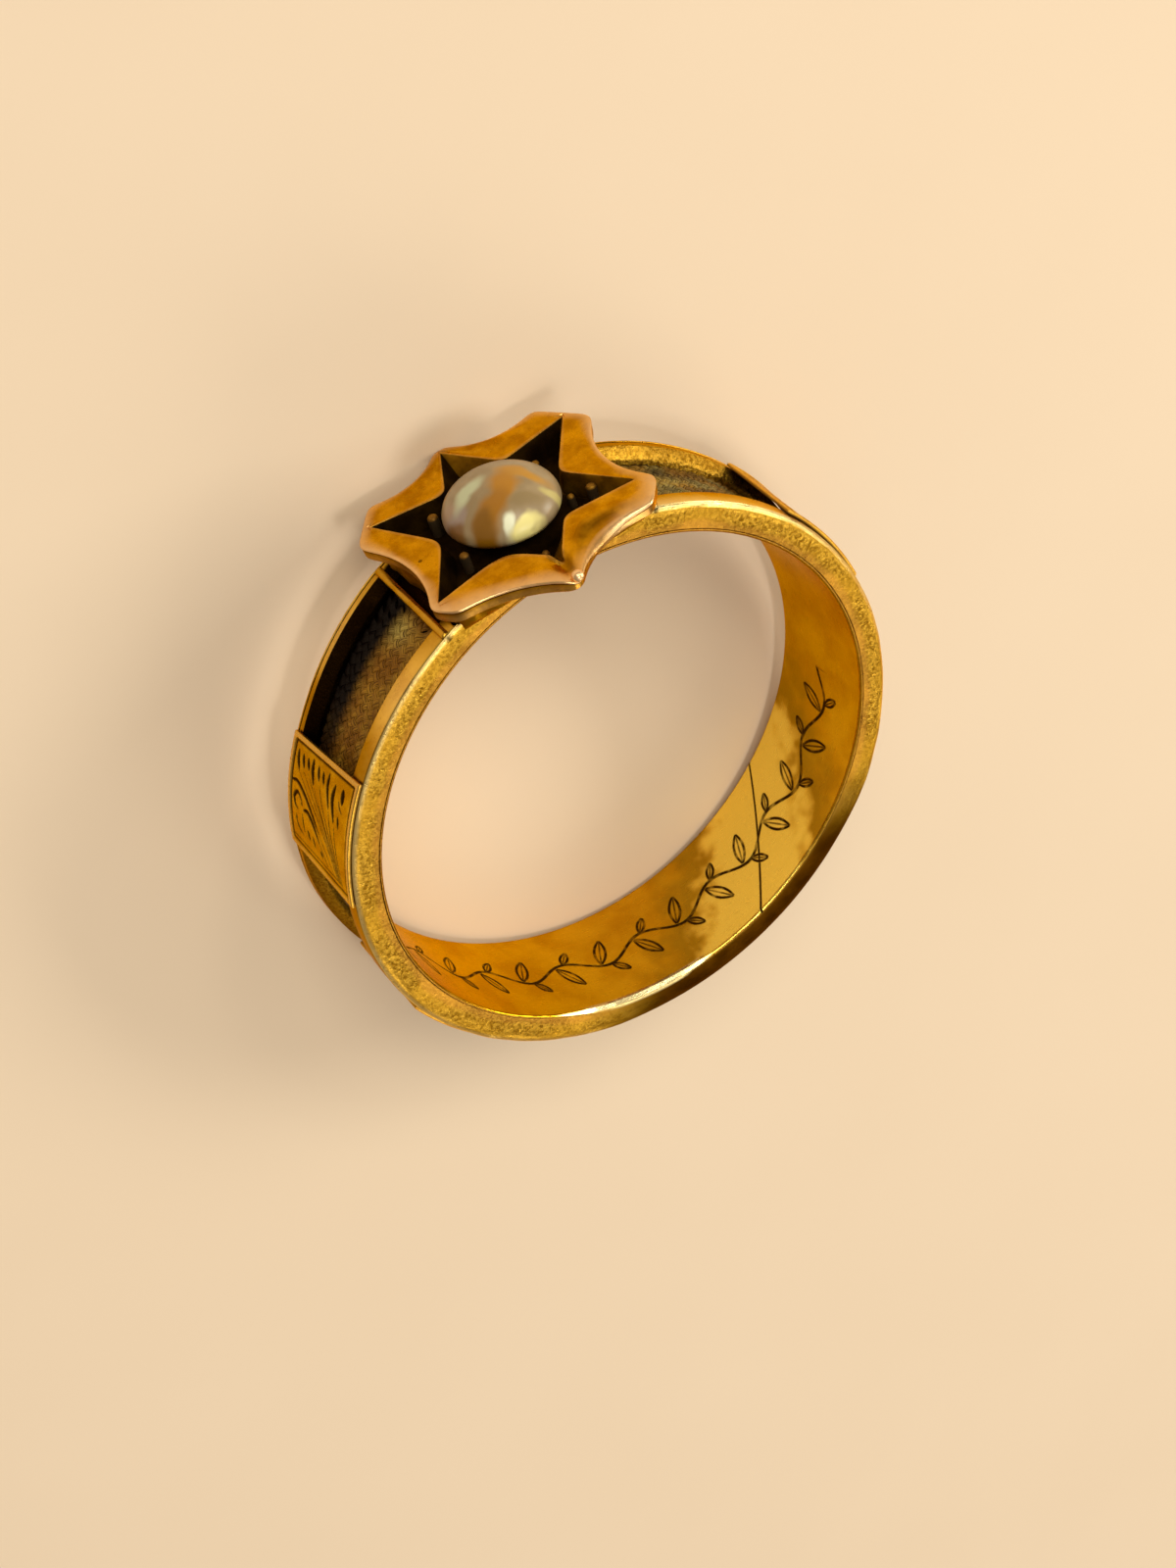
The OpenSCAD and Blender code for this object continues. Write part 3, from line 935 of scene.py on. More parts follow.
# %% [markdown]
# ## The hair
# Flat braids of hair are woven on the bias: one set of strands leans left, the other right, and
# they pass over and under each other in turn. One strand is shaped from a six-sided rod that is
# cut across many times, and an array repeats it along the strip. The second set is made the same
# way and leans the other way, and the flat strip of both is then wrapped round the hoop.

# %% One strand
STRAND_STEP = 0.38
STRAND_W = 0.135  # half a strand's width
STRAND_T = 0.038  # half its thickness
WAVE = 0.042  # how far it rises over the strands that it crosses
HAIR_HALF_W = 1.56
HAIR_MIDDLE = 8.94
HAIR_FROM = BAR_ANGLE + 0.02 / RAIL_R
HAIR_ARC = 2 * math.pi - 2 * HAIR_FROM
HAIR_LENGTH = HAIR_ARC * HAIR_MIDDLE
CROSSINGS = int(2 * HAIR_HALF_W / (STRAND_STEP / 2))
SLANT = math.sqrt(0.5)


def strand(lean):
    """One flat strand across the strip. lean is 1 or -1, and also which set goes over first."""
    start_clean()
    bpy.ops.mesh.primitive_cylinder_add(vertices=6, radius=1, depth=1, end_fill_type="NGON")
    piece = bpy.context.object
    piece.name = "strand"
    with editing(piece):
        select_edges(piece, lambda at: abs(at.z) < 1)
        bpy.ops.mesh.subdivide(number_cuts=3 * CROSSINGS)
    start = points_of(piece) * MM
    share = start[:, 2] + 0.5
    ring = np.arctan2(start[:, 1], start[:, 0])
    y = (2 * share - 1) * HAIR_HALF_W
    edge = np.clip((HAIR_HALF_W - np.abs(y)) / 0.12, 0.15, 1)
    rise = WAVE * lean * np.cos(math.pi * y / (STRAND_STEP / 2)) * edge
    off = STRAND_W * np.cos(ring) * edge * SLANT
    uv = piece.data.uv_layers[0]
    uv.name = "strand"
    for loop in piece.data.loops:
        i = loop.vertex_index
        uv.data[loop.index].uv = (share[i] * 2 * HAIR_HALF_W / SLANT, ring[i] / (2 * math.pi) * 0.4 + 0.5)
    place_points(piece, np.stack([lean * y + off, y - lean * off, rise + STRAND_T * np.sin(ring)], 1))
    return piece


# %% Two leaning sets
strand_sets = []
for lean in (1, -1):
    one = strand(lean)
    array = one.modifiers.new("along", "ARRAY")
    array.use_relative_offset = False
    array.use_constant_offset = True
    array.constant_offset_displace = (STRAND_STEP * MM, 0, 0)
    array.count = int((HAIR_LENGTH - 2 * HAIR_HALF_W) / STRAND_STEP) + 10
    make_active(one)
    bpy.ops.object.modifier_apply(modifier=array.name)
    strand_sets.append(one)
hair = join_into(strand_sets[0], strand_sets[1:])
at = points_of(hair)
print("flat strip:", len(at), "points,", round(np.ptp(at[:, 0]), 1), "mm long")

# %% Wrap the strip round the hoop
HAIR_EDGES = (-1.58, 1.48)
HAIR_SEED = 9
at[:, 0] -= at[:, 0].min()
at[:, 0] -= (at[:, 0].max() - HAIR_LENGTH) / 2
depth = at[:, 2].copy()
noise.seed_set(HAIR_SEED)  # without a seed of its own, each run would weave another strip
wander = np.array([noise.noise_vector(Vector((p[0] * 1.3, p[1] * 1.7, 0.3))) for p in at])
at[:, 0] += 0.14 * wander[:, 0]
at[:, 1] = np.clip(at[:, 1] + 0.06 * wander[:, 1], *HAIR_EDGES)
past_end = np.clip(np.maximum(-at[:, 0], at[:, 0] - HAIR_LENGTH) / 0.3, 0, 1)
lift = HAIR_MIDDLE + depth + 0.03 * wander[:, 2] - 0.06 * past_end
around_at = HAIR_FROM + np.clip(at[:, 0], 0.02, HAIR_LENGTH - 0.02) / HAIR_MIDDLE


def round_hoop(out, turns, across):
    """Points at distances from the bore's axis, turns from the head's middle and places across."""
    return np.stack([out * np.sin(turns), -out * np.cos(turns), across], 1)


place_points(hair, round_hoop(lift, around_at, at[:, 1]))
left_window = np.clip(2.0 - around_at / 0.8, 0, 1)
right_window = np.clip(2.0 - (2 * math.pi - around_at) / 0.8, 0, 1)
far_shade = np.clip((-at[:, 1] - 0.75 + 0.5 * left_window) / 0.55, 0, 1) * (0.45 + 0.55 * left_window)
right_shade = right_window * (0.45 + 0.6 * wander[:, 0])
near_shade = ramp(np.abs(at[:, 1] + 0.05), 1.22, 1.37)
# painted shade: darker along the strip's edges, through the window opposite and where a strand dips under
# another
mark(hair, np.maximum.reduce([far_shade, right_shade, near_shade, np.clip(-depth / 0.07, 0, 0.85)]))
# a dry, pale patch shows beside the bar in one window, and pale ends all through the opposite one
dry = hill(around_at, 0.49, 0.05) * hill(at[:, 1], -0.25, 0.55)
mark(hair, np.maximum(dry, right_window * np.clip(wander[:, 1] * 2.2, 0, 0.9)), "dry")

# %% Backing that closes the gaps between strands
backing = spun_section(
    "backing", CHANNEL_R + 0.005, CHANNEL_R + 0.06, -1.58, 1.49, 0.01, 224, HAIR_FROM, HAIR_ARC
)
# painted shade: the backing is near black, so the gaps between strands read as shade
mark(backing, 1)
mark(backing, 0, "dry")
hair = join_into(hair, [backing])
smooth_shade(hair, 75)
lay_down(hair, "hair_plait", woven_hair)

# %% [markdown]
# ## The star's outline and pocket
# The star was cut by hand, so each arm has its own direction and reach. The outline runs from
# the middle of a blunt tip along its flat end and down a hollow arc to the middle of the side.
# The pocket has straight, sharp arms. Both are laid out with the same number of points in the
# same order, so that rings of faces can run from one to the other.

# %% Star layout
STAR_R = 4.4
SIDE_R = 3.5
TIP_W = 1.8
ARM_R = 4.0
CORNER_R = 2.06
POCKET_DEPTH = 0.79
FLOOR_CORNER_R = 1.81
HALF_STEPS = 32
# arm direction, arm reach, floor reach, corner direction, corner reach,
# tip direction, tip reach, tip width, side direction, side reach
STAR = [
    (32, 1.03, 0.84, 60, 1.00, 36, 1.00, 0.50, 67, 1.07),
    (91, 0.82, 0.60, 120, 1.00, 88, 1.00, 0.20, 113, 1.05),
    (148, 0.98, 0.80, 182, 0.95, 141, 1.03, 0.70, 178, 0.95),
    (213, 1.02, 0.84, 240, 1.05, 215, 0.98, 1.15, 252, 1.00),
    (271, 0.95, 0.60, 295, 1.05, 270, 0.91, 0.25, 288, 1.02),
    (323, 1.02, 0.84, 356, 1.00, 322, 0.99, 1.05, 359, 0.95),
]


def polar(reach, degrees):
    return reach * np.array([math.cos(math.radians(degrees)), math.sin(math.radians(degrees))])


def tip_end(arm, side):
    return polar(STAR_R * arm[6], arm[5]) + side * TIP_W / 2 * arm[7] * polar(1, arm[5] + 90)


def arc_through(p, q, r, count):
    """Points on the circle through p, q and r, from p to r."""
    d = 2 * (p[0] * (q[1] - r[1]) + q[0] * (r[1] - p[1]) + r[0] * (p[1] - q[1]))
    pp, qq, rr = p @ p, q @ q, r @ r
    centre = np.array(
        [
            (pp * (q[1] - r[1]) + qq * (r[1] - p[1]) + rr * (p[1] - q[1])) / d,
            (pp * (r[0] - q[0]) + qq * (p[0] - r[0]) + rr * (q[0] - p[0])) / d,
        ]
    )
    a, b = (math.atan2(*(v - centre)[::-1]) for v in (p, r))
    b = a + (b - a + math.pi) % (2 * math.pi) - math.pi
    turns = np.linspace(a, b, count)
    return centre + np.linalg.norm(p - centre) * np.stack([np.cos(turns), np.sin(turns)], 1)


def resampled(path, count):
    """The path as count points at even distances, without its last point."""
    path = np.asarray(path)
    steps = np.r_[0, np.cumsum(np.linalg.norm(np.diff(path, axis=0), axis=1))]
    wanted = np.linspace(0, steps[-1], count + 1)[:-1]
    return np.stack([np.interp(wanted, steps, path[:, k]) for k in (0, 1)], 1)


# %% Outline and pocket rings
outline, face_ring, floor_ring = [], [], []
for arm, after in zip(STAR, STAR[1:] + STAR[:1]):
    arc = arc_through(tip_end(arm, 1), polar(SIDE_R * arm[9], arm[8]), tip_end(after, -1), 81)
    to_side = np.vstack([polar(STAR_R * arm[6], arm[5]), arc[:41]])
    to_tip = np.vstack([arc[40:], polar(STAR_R * after[6], after[5])])
    outline += [resampled(to_side, HALF_STEPS), resampled(to_tip, HALF_STEPS)]
    for ring, column, corner_reach in ((face_ring, 1, CORNER_R * arm[4]), (floor_ring, 2, FLOOR_CORNER_R)):
        corner = polar(corner_reach, arm[3])
        ring.append(resampled([polar(ARM_R * arm[column], arm[0]), corner], HALF_STEPS))
        ring.append(resampled([corner, polar(ARM_R * after[column], after[0])], HALF_STEPS))
outline, face_ring, floor_ring = (np.vstack(r) for r in (outline, face_ring, floor_ring))
for _ in range(14):  # wear rounds the corners of the tips
    outline = (np.roll(outline, 1, 0) + 2 * outline + np.roll(outline, -1, 0)) / 4
ring_count = len(outline)
# the petals' inner corners are rounded too, and the one between E and F is a wide bow
CORNER_ROUNDS = (110, 24, 16, 14, 20, 30)
for ring in (face_ring, floor_ring):
    for i, rounds in enumerate(CORNER_ROUNDS):
        middle = (2 * i + 1) * HALF_STEPS
        span = np.arange(middle - HALF_STEPS + 3, middle + HALF_STEPS - 2) % ring_count
        for _ in range(rounds):
            ring[span] = (ring[(span - 1) % ring_count] + 2 * ring[span] + ring[(span + 1) % ring_count]) / 4
print("points in a ring of the star:", ring_count)

# %% [markdown]
# ## Rolling the plate
# The head is one strip of faces that starts at the pocket's floor, climbs the drafted walls,
# crosses the petals, rolls softly to a thin bright edge, dips into the dark seam under it, goes
# down the plate's wall, steps in and ends on the band. A circle is added, and each extrusion of
# its edge is put on the next ring of the layout. One petal is rolled off far more, by wear.

# %% Rings of the head
GALLERY_IN = 0.15  # how far the gallery stands back under the plate's sides
TIP_STEP = 0.6  # and under its tips
GALLERY_HALF_L = (BAR_SPAN - BAR_D - 0.08) / 2
FOOT = 8.65
GALLERY_REACH = 3.5
COVE_SAG = 0.17


def toward(ring, target, distance, most=0.6):
    """Moves each point of a ring a distance towards its partner on another ring."""
    apart = np.linalg.norm(target - ring, axis=1)
    return ring + (target - ring) * np.minimum(distance / apart, most)[:, None]


def inward(distance):
    """The star's outline drawn in towards the pocket."""
    return toward(outline, face_ring, distance)


def level(ring, height):
    return np.column_stack([ring, np.broadcast_to(height, len(ring))])


def cove_width(height):
    """Half the gallery's width across the band at a height, with its hollow side."""
    share = (PLATE_BACK - height) / (PLATE_BACK - FOOT)
    straight = GALLERY_REACH + (HALF_W - GALLERY_REACH) * share
    return straight - COVE_SAG * 4 * share * (1 - share)


direction = np.arctan2(outline[:, 1], outline[:, 0])
reach = np.linalg.norm(outline, axis=1)
tipness = np.clip((reach - 3.5) / 0.7, 0, 1)
under = reach - GALLERY_IN - (TIP_STEP - GALLERY_IN) * tipness


def gallery_ring(height):
    cap_u = GALLERY_HALF_L / np.maximum(np.abs(np.cos(direction)), 1e-6)
    cap_w = cove_width(height) / np.maximum(np.abs(np.sin(direction)), 1e-6)
    r = np.minimum(np.minimum(under, cap_u), cap_w)
    return np.column_stack([r * np.cos(direction), r * np.sin(direction)])


# share of each value that a point of the ring takes from the worn petal between E and D
petal_angle = np.degrees(direction) % 360
worn_petal = hill(petal_angle, 113, 17)
roll = 0.42 + 0.42 * worn_petal
drop = 0.05 + 0.11 * worn_petal
rim_in = 0.045 + 0.17 * worn_petal
near_side = np.clip(0.5 + outline[:, 1] / 3, 0, 1)
# the pale edge, wear with a painted highlight, is wider on the near side and at the tips
pale_width = (0.12 + 0.16 * near_side + (0.3 + 0.2 * near_side) * tipness) * (1 - 0.3 * worn_petal)
# a white highlight is painted on the rolled edge over its upper half only, and an olive shade is painted down
# to the bead
painted_white_highlight = hill(petal_angle, 128, 13)
painted_olive_shade = worn_petal * (1 - painted_white_highlight)
# walls of the pocket that look towards the picture's left catch some light, the others are black
turning = np.roll(face_ring, -1, 0) - np.roll(face_ring, 1, 0)
turning /= np.linalg.norm(turning, axis=1)[:, None]
facing = np.clip(-turning[:, 1] * 0.68 - turning[:, 0] * 0.73, 0, 1)


# %% How a ring is added
rings, head_dirt_and_shade, pale_rim_and_highlight = [], [], []


def valley(points):
    """The shallow valley from the arm towards E out to the plate's tip: its depth, and the shade painted in
    it, darker on one side.
    """
    tip = polar(1, 89)
    out, off = points[:, :2] @ tip, points[:, :2] @ np.array([-tip[1], tip[0]])
    share = ramp(out, 2.95, 3.25) * hill(off, 0, 0.26)
    valley_shade = share * np.clip(0.3 + off * 2.5, 0.1, 0.75) * ramp(out, 4.15, 3.85)
    return (0.3 - 0.16 * ramp(out, 3.2, 4.2)) * share, valley_shade


def add_ring(ring, height, hollow=0.0, rubbed_and_highlight=0.0):
    points = level(ring, height)
    top = ramp(points[:, 2], FACE - 0.35, FACE - 0.15)
    sunk, valley_shade = valley(points)
    points[:, 2] -= sunk * top
    rings.append(points)
    head_dirt_and_shade.append(np.maximum(hollow, valley_shade * top))
    pale_rim_and_highlight.append(rubbed_and_highlight * (1 - valley_shade))


def paleness(ring):
    """How pale the edge is painted, for its wear and its highlight, from the distance to the outline."""
    near_rim = np.clip(1 - np.linalg.norm(outline - ring, axis=1) / pale_width, 0, 1)
    return 0.85 * near_rim**1.3 * (1 - 0.85 * painted_olive_shade)


# %% Pocket and petals
# the pocket's floor and walls are near black with dirt and painted shade
add_ring(floor_ring * 0.55, FACE - POCKET_DEPTH, 1.0)
add_ring(floor_ring * 0.97, FACE - POCKET_DEPTH, 1.0)
for share in (0.03, 0.35, 0.65, 0.9, 0.97):
    ring = floor_ring + (face_ring - floor_ring) * share
    add_ring(ring, FACE - POCKET_DEPTH * (1 - share), 1.0 - 0.66 * facing**0.7 * share**0.35)
add_ring(face_ring, FACE - 0.012, 0.35, 0.1)
lip = toward(face_ring, outline, 0.03)
add_ring(lip, FACE, 0.0, np.maximum(paleness(lip), 0.15))
inner, rim_start = toward(face_ring, outline, 0.08), inward(rim_in + roll)
for share in (0.12, 0.35, 0.6, 0.82):
    ring = inner + (rim_start - inner) * share
    add_ring(ring, FACE - 0.02 * math.sin(math.pi * share), 0.0, paleness(ring))
for share in (1.0, 0.8, 0.6, 0.42, 0.26, 0.12):
    ring = inward(rim_in + roll * share)
    # painted shade on the worn petal's slope, and the painted olive shade on its edge
    shaded = np.maximum(0.72 * worn_petal * hill(share, 0.5, 0.27), 0.35 * painted_olive_shade)
    add_ring(ring, FACE - drop * (1 - share) ** 1.8, shaded, paleness(ring) * (1 - shaded))

# %% Rim, seam, wall and gallery
# the rings turn over the edge, tightly on most petals and in a wide roll on the worn one
# painted highlight: the rim is pale, less so where the olive shade is painted
rim_shine = np.clip(0.75 + 0.25 * worn_petal - 0.75 * painted_olive_shade, 0, 1)
for aside, down, wide_aside, wide_down in (
    (0.045, 0.0, 0.17, 0.0),
    (0.032, 0.004, 0.125, 0.012),
    (0.02, 0.012, 0.08, 0.035),
    (0.005, 0.03, 0.035, 0.07),
    (0.0, 0.055, 0.0, 0.10),
):
    height = FACE - drop - down - wide_down * worn_petal
    add_ring(inward(aside + wide_aside * worn_petal), height, 0.35 * painted_olive_shade, rim_shine)
seam_top = FACE - drop - 0.075 - 0.11 * worn_petal
wall_drop = seam_top - 0.046 - PLATE_BACK
seamed = 1 - worn_petal  # the worn petal's edge has no seam, and its wall carries the painted highlight as well
painted_edge_highlight = worn_petal * (0.2 + 0.8 * painted_white_highlight)
wall_shade = 0.45 * ramp(outline[:, 0], 2.2, 3.2)  # painted shade keeps to the shoulder's side
groove = inward(0.02 + 0.055 * seamed)
add_ring(inward(0.01), seam_top, 0.2 * seamed, 0.5 * seamed + painted_edge_highlight)
add_ring(groove, seam_top - 0.012, seamed, painted_edge_highlight)
add_ring(groove, seam_top - 0.034, seamed, painted_edge_highlight)
add_ring(inward(0.025), seam_top - 0.046, 0.15 * seamed + wall_shade, painted_edge_highlight)
add_ring(inward(0.035), PLATE_BACK + 0.5 * wall_drop, wall_shade, np.maximum(0.15, painted_edge_highlight))
add_ring(inward(0.05), PLATE_BACK + 0.04, wall_shade, 0.15 + 0.5 * painted_edge_highlight)
add_ring(inward(0.085), PLATE_BACK, 0.3 + wall_shade)
add_ring(gallery_ring(PLATE_BACK) * 1.01, PLATE_BACK, 1.0)
foot_at = np.where(np.abs(gallery_ring(FOOT)[:, 1]) > HALF_W - 0.02, FOOT, 8.89)
less_darkened = 0.8 * hill(petal_angle, 66, 24)  # the gallery is painted less dark over the bore's edge
# dust, and painted shade that is darkest right under the plate
for share in (0.02, 0.2, 0.4, 0.6, 0.8, 1.0):
    height = PLATE_BACK - (PLATE_BACK - foot_at) * share
    add_ring(gallery_ring(height), height, (0.72 - 0.25 * share) * (1 - less_darkened))
last = gallery_ring(foot_at)
last[:, 1] = np.clip(last[:, 1], -HALF_W - 0.02, HALF_W + 0.02)
add_ring(last, foot_at, 0.5)
# the foot ends in the seat and the rails, under their round top
bottom = np.minimum(9.01, np.sqrt(9.52**2 - np.minimum(np.abs(last[:, 0]), 3.5) ** 2))
add_ring(last * 0.99, bottom, 0.5)
print("rings in the head:", len(rings))

# %% Extrude the rings
RING_STEP = 0.1
start_clean()
bpy.ops.mesh.primitive_circle_add(vertices=ring_count, radius=2 * MM, fill_type="NOTHING")
head = bpy.context.object
head.name = "star_head"
with editing(head):
    for _ in rings[1:]:
        bpy.ops.mesh.extrude_edges_move(TRANSFORM_OT_translate={"value": (0, 0, RING_STEP * MM)})
# the points are sorted by ring and round each ring, and go to their places on the layout, whose
# frame has x along the hoop, y across the band and z out of the face
start = points_of(head)
placed = np.empty_like(start)
hollow, rubbed_and_highlight = np.empty(len(start)), np.empty(len(start))
order = np.argsort(np.round(start[:, 2] / RING_STEP).astype(int), kind="stable")
for k, ring in enumerate(rings):
    row = order[k * ring_count : (k + 1) * ring_count]
    turns = np.arctan2(start[row, 1], start[row, 0])
    row = row[np.argsort(turns % (2 * math.pi - 1e-4))]
    placed[row] = np.column_stack([ring[:, 0], -ring[:, 2], ring[:, 1]])
    hollow[row], rubbed_and_highlight[row] = head_dirt_and_shade[k], pale_rim_and_highlight[k]
place_points(head, placed)
mark(head, hollow)
mark(head, rubbed_and_highlight, "rubbed_and_highlight")
close_openings(head)

# %% [markdown]
# ## Claws
# Small pins stand in the arms of the pocket and lean on the pearl, each at a place of its own,
# because they were set by eye. A pin is a short cylinder with its top ring beveled to a dome.


# %% Claws round the pearl
# place along the hoop, across the band, depth of the top under the face, radius
CLAWS = [
    (1.86, 0.74, 0.12, 0.15),
    (-0.04, 2.05, 0.55, 0.12),
    (-2.38, 1.00, 0.18, 0.16),
    (-1.80, 0.70, 0.35, 0.12),
    (-1.76, -1.20, 0.12, 0.13),
    (0.04, -2.02, 0.45, 0.12),
    (1.68, -1.48, 0.08, 0.17),
]


def claw(x, w, down, thick):
    start_clean()
    bottom_y, top_y = -(FACE - POCKET_DEPTH - 0.05), -(FACE - down)
    bpy.ops.mesh.primitive_cylinder_add(
        vertices=20,
        radius=thick * MM,
        depth=abs(top_y - bottom_y) * MM,
        location=(x * MM, (top_y + bottom_y) / 2 * MM, w * MM),
        rotation=(math.pi / 2, 0, 0),
    )
    pin = settled()
    with editing(pin):
        select_edges(pin, lambda at: abs(at.y - top_y) < 0.01)
        bpy.ops.mesh.bevel(offset=0.11 * MM, segments=4, profile=0.5)
    # each pin is near black down in the pocket and dark at its top, with the pocket's dirt and painted shade
    mark(pin, np.where(points_of(pin)[:, 1] > top_y + 0.1, 1.0, 0.74))
    mark(pin, 0.05, "rubbed_and_highlight")
    return pin


head = join_into(head, [claw(*row) for row in CLAWS])

# %% [markdown]
# The tip over the finger side is worn to a small bead, painted pale all over for its highlight. It is
# a sphere set into the tip's end, pressed a little flat, and joined to the head.

# %% Worn bead at a tip
start_clean()
bead_x, bead_w = polar(4.27, 89.6)
bead_place = (bead_x * MM, -(FACE - 0.11) * MM, bead_w * MM)
bpy.ops.mesh.primitive_uv_sphere_add(segments=40, ring_count=24, radius=0.19 * MM, location=bead_place)
bead = settled()
with editing(bead):
    bpy.ops.transform.resize(value=(1.0, 0.92, 1.0), center_override=bead_place)
mark(bead, 0)
# painted highlight: the bead is pale all over
mark(bead, 1, "rubbed_and_highlight")
head = join_into(head, [bead])
smooth_shade(head, 26)
lay_down(head, "star_head", star_gold)

# %% [markdown]
# ## The pearl
# A button pearl is a round dome over a flatter back, and this one is a little uneven, with a
# faint ridge on one side. A sphere is added in place, its two halves are pressed to their own
# heights, and the ridge and slow dents are pushed in afterwards.

# %% Pearl
PEARL_R = 1.77
PEARL_AT = FACE - 0.09
PEARL_SHIFT = -0.13  # it sits a little off the middle of its pocket
RIDGE_X, RIDGE_W = -0.345, 0.939  # the way across the ridge, along the hoop and across the band
LONG_X, LONG_W = 0.681, -0.7325  # the way in which the pearl is longer
start_clean()
bpy.ops.mesh.primitive_uv_sphere_add(
    segments=96,
    ring_count=64,
    radius=PEARL_R * MM,
    location=(0, -PEARL_AT * MM, 0),
    rotation=(math.pi / 2, 0, 0),
)
pearl = settled()
at = points_of(pearl)
rise = -at[:, 1] - PEARL_AT
rise = np.where(rise > 0, rise * 1.08 / PEARL_R, rise * 0.6 / PEARL_R)
bumps = [noise.noise(Vector((p[0] * 0.7, rise[k] * 0.7, p[2] * 0.7))) for k, p in enumerate(at)]
swell = 1 + 0.012 * np.array(bumps)
# the ridge is a faint straight fold down one side of the dome
off_ridge = RIDGE_W * at[:, 2] + RIDGE_X * at[:, 0]
ridge = hill(off_ridge, 0.059, 0.06) * (rise > 0) * ramp(at[:, 0], 0.1, 0.5)
# it is a little longer one way than the other
long = (LONG_X * at[:, 0] + LONG_W * at[:, 2]) * 0.02
wide = (LONG_X * at[:, 2] - LONG_W * at[:, 0]) * -0.05
at[:, 0] = (at[:, 0] + LONG_X * long - LONG_W * wide) * swell
at[:, 2] = (at[:, 2] + LONG_W * long + LONG_X * wide) * swell + PEARL_SHIFT
at[:, 1] = -(PEARL_AT + rise * swell + 0.014 * ridge)
place_points(pearl, at)
make_active(pearl)
bpy.ops.object.shade_smooth()
lay_down(pearl, "pearl", pearl_nacre)

# %% [markdown]
# ## Engraved plaques
# Each plaque is a thin curved plate with a raised border, a row of leaf cuts under it, and a leaf
# that fans out of a corner round a small scroll. An engraver draws with strokes that swell and
# taper, so the ornament is a short list of strokes. Each is a curved line with a width, pressed
# into a fine grid as a V groove. One plaque is engraved, and the other four are copies, each
# trimmed a little to its own width.

# %% Strokes of the ornament
PLAQUE_L = 4.1
PLAQUE_IN = 9.52
PLAQUE_T = 0.12
PLAQUE_HALF_W = 2.0
PLAQUE_ANGLE = PLAQUE_L / (PLAQUE_IN + PLAQUE_T)
# each stroke: points (along the hoop from the upper edge, across the band), width, depth
STROKES = [
    ([(0.22, -1.95), (0.22, 0.0), (0.22, 1.95)], 0.06, 0.6),
    ([(0.22, 1.95), (2.0, 1.97), (3.9, 1.95)], 0.06, 0.6),
    ([(3.82, 1.95), (3.82, 0.0), (3.82, -1.95)], 0.06, 0.6),
    ([(3.62, 1.6), (3.62, 0.0), (3.62, -1.95)], 0.04, 0.5),
    ([(0.22, -1.95), (2.0, -1.98), (3.82, -1.95)], 0.06, 0.6),
    ([(0.50, -1.72), (0.80, -1.68), (1.10, -1.55)], 0.10, 1.0),
    ([(0.52, -1.38), (0.72, -1.34), (0.92, -1.25)], 0.09, 1.0),
    ([(0.52, -1.04), (0.68, -1.00), (0.84, -0.92)], 0.09, 1.0),
    ([(0.42, -0.70), (0.75, -0.68), (1.15, -0.52)], 0.11, 1.0),
    ([(0.48, -0.32), (0.68, -0.28), (0.88, -0.20)], 0.09, 1.0),
    ([(0.52, 0.02), (0.70, 0.06), (0.86, 0.12)], 0.08, 1.0),
    ([(0.42, 0.40), (0.85, 0.40), (1.45, 0.62)], 0.09, 1.0),
    ([(0.60, 0.88), (1.05, 0.80), (1.70, 1.02)], 0.12, 1.0),
    ([(0.55, 1.38), (0.72, 1.40), (0.95, 1.42)], 0.13, 1.0),
    ([(1.45, 1.30), (1.60, 1.33), (1.78, 1.38)], 0.07, 1.0),
    ([(0.95, 1.22), (1.15, 1.34), (1.25, 1.52)], 0.04, 0.7),
    ([(1.15, -1.50), (1.70, -0.75), (2.30, 0.15), (3.00, 0.85), (3.75, 1.45)], 0.035, 0.7),
    ([(1.05, -1.20), (1.60, -0.50), (2.25, 0.30), (3.00, 0.95), (3.75, 1.50)], 0.030, 0.6),
    ([(1.00, -0.90), (1.55, -0.28), (2.20, 0.42), (3.00, 1.04), (3.75, 1.54)], 0.030, 0.6),
    ([(1.25, -0.45), (1.75, 0.06), (2.30, 0.58), (3.00, 1.12), (3.75, 1.58)], 0.030, 0.6),
    ([(1.05, -0.10), (1.60, 0.22), (2.25, 0.72), (3.00, 1.20), (3.75, 1.62)], 0.035, 0.6),
    ([(1.55, 0.66), (2.10, 0.84), (2.80, 1.20), (3.75, 1.66)], 0.035, 0.6),
    ([(1.85, 1.10), (2.40, 1.22), (3.00, 1.42), (3.75, 1.72)], 0.030, 0.6),
    ([(1.62, -1.95), (1.55, -1.55), (1.78, -1.02), (2.20, -0.45), (2.62, 0.02)], 0.10, 0.9),
    ([(2.62, 0.02), (3.05, 0.50), (3.55, 1.05)], 0.035, 0.6),
    ([(2.10, -1.20), (1.90, -1.50), (2.10, -1.74), (2.40, -1.68), (2.50, -1.50)], 0.09, 0.9),
    ([(2.35, -1.05), (2.30, -0.75), (2.55, -0.35), (2.95, 0.05)], 0.11, 1.0),
    ([(2.95, 0.05), (3.25, 0.35), (3.50, 0.62)], 0.035, 0.6),
    ([(2.55, -1.15), (2.85, -1.10), (3.10, -1.02)], 0.05, 0.8),
    ([(2.95, -0.78), (3.08, -0.72), (3.2, -0.66)], 0.08, 1.0),
    ([(2.98, -0.40), (3.14, -0.34), (3.3, -0.28)], 0.06, 1.0),
    ([(2.18, -1.22), (2.20, -1.20), (2.22, -1.18)], 0.06, 1.0),
    ([(3.22, 0.16), (3.30, 0.20), (3.38, 0.26)], 0.08, 1.0),
    ([(2.75, -1.60), (3.00, -1.58), (3.20, -1.42), (3.30, -1.15)], 0.06, 0.8),
]


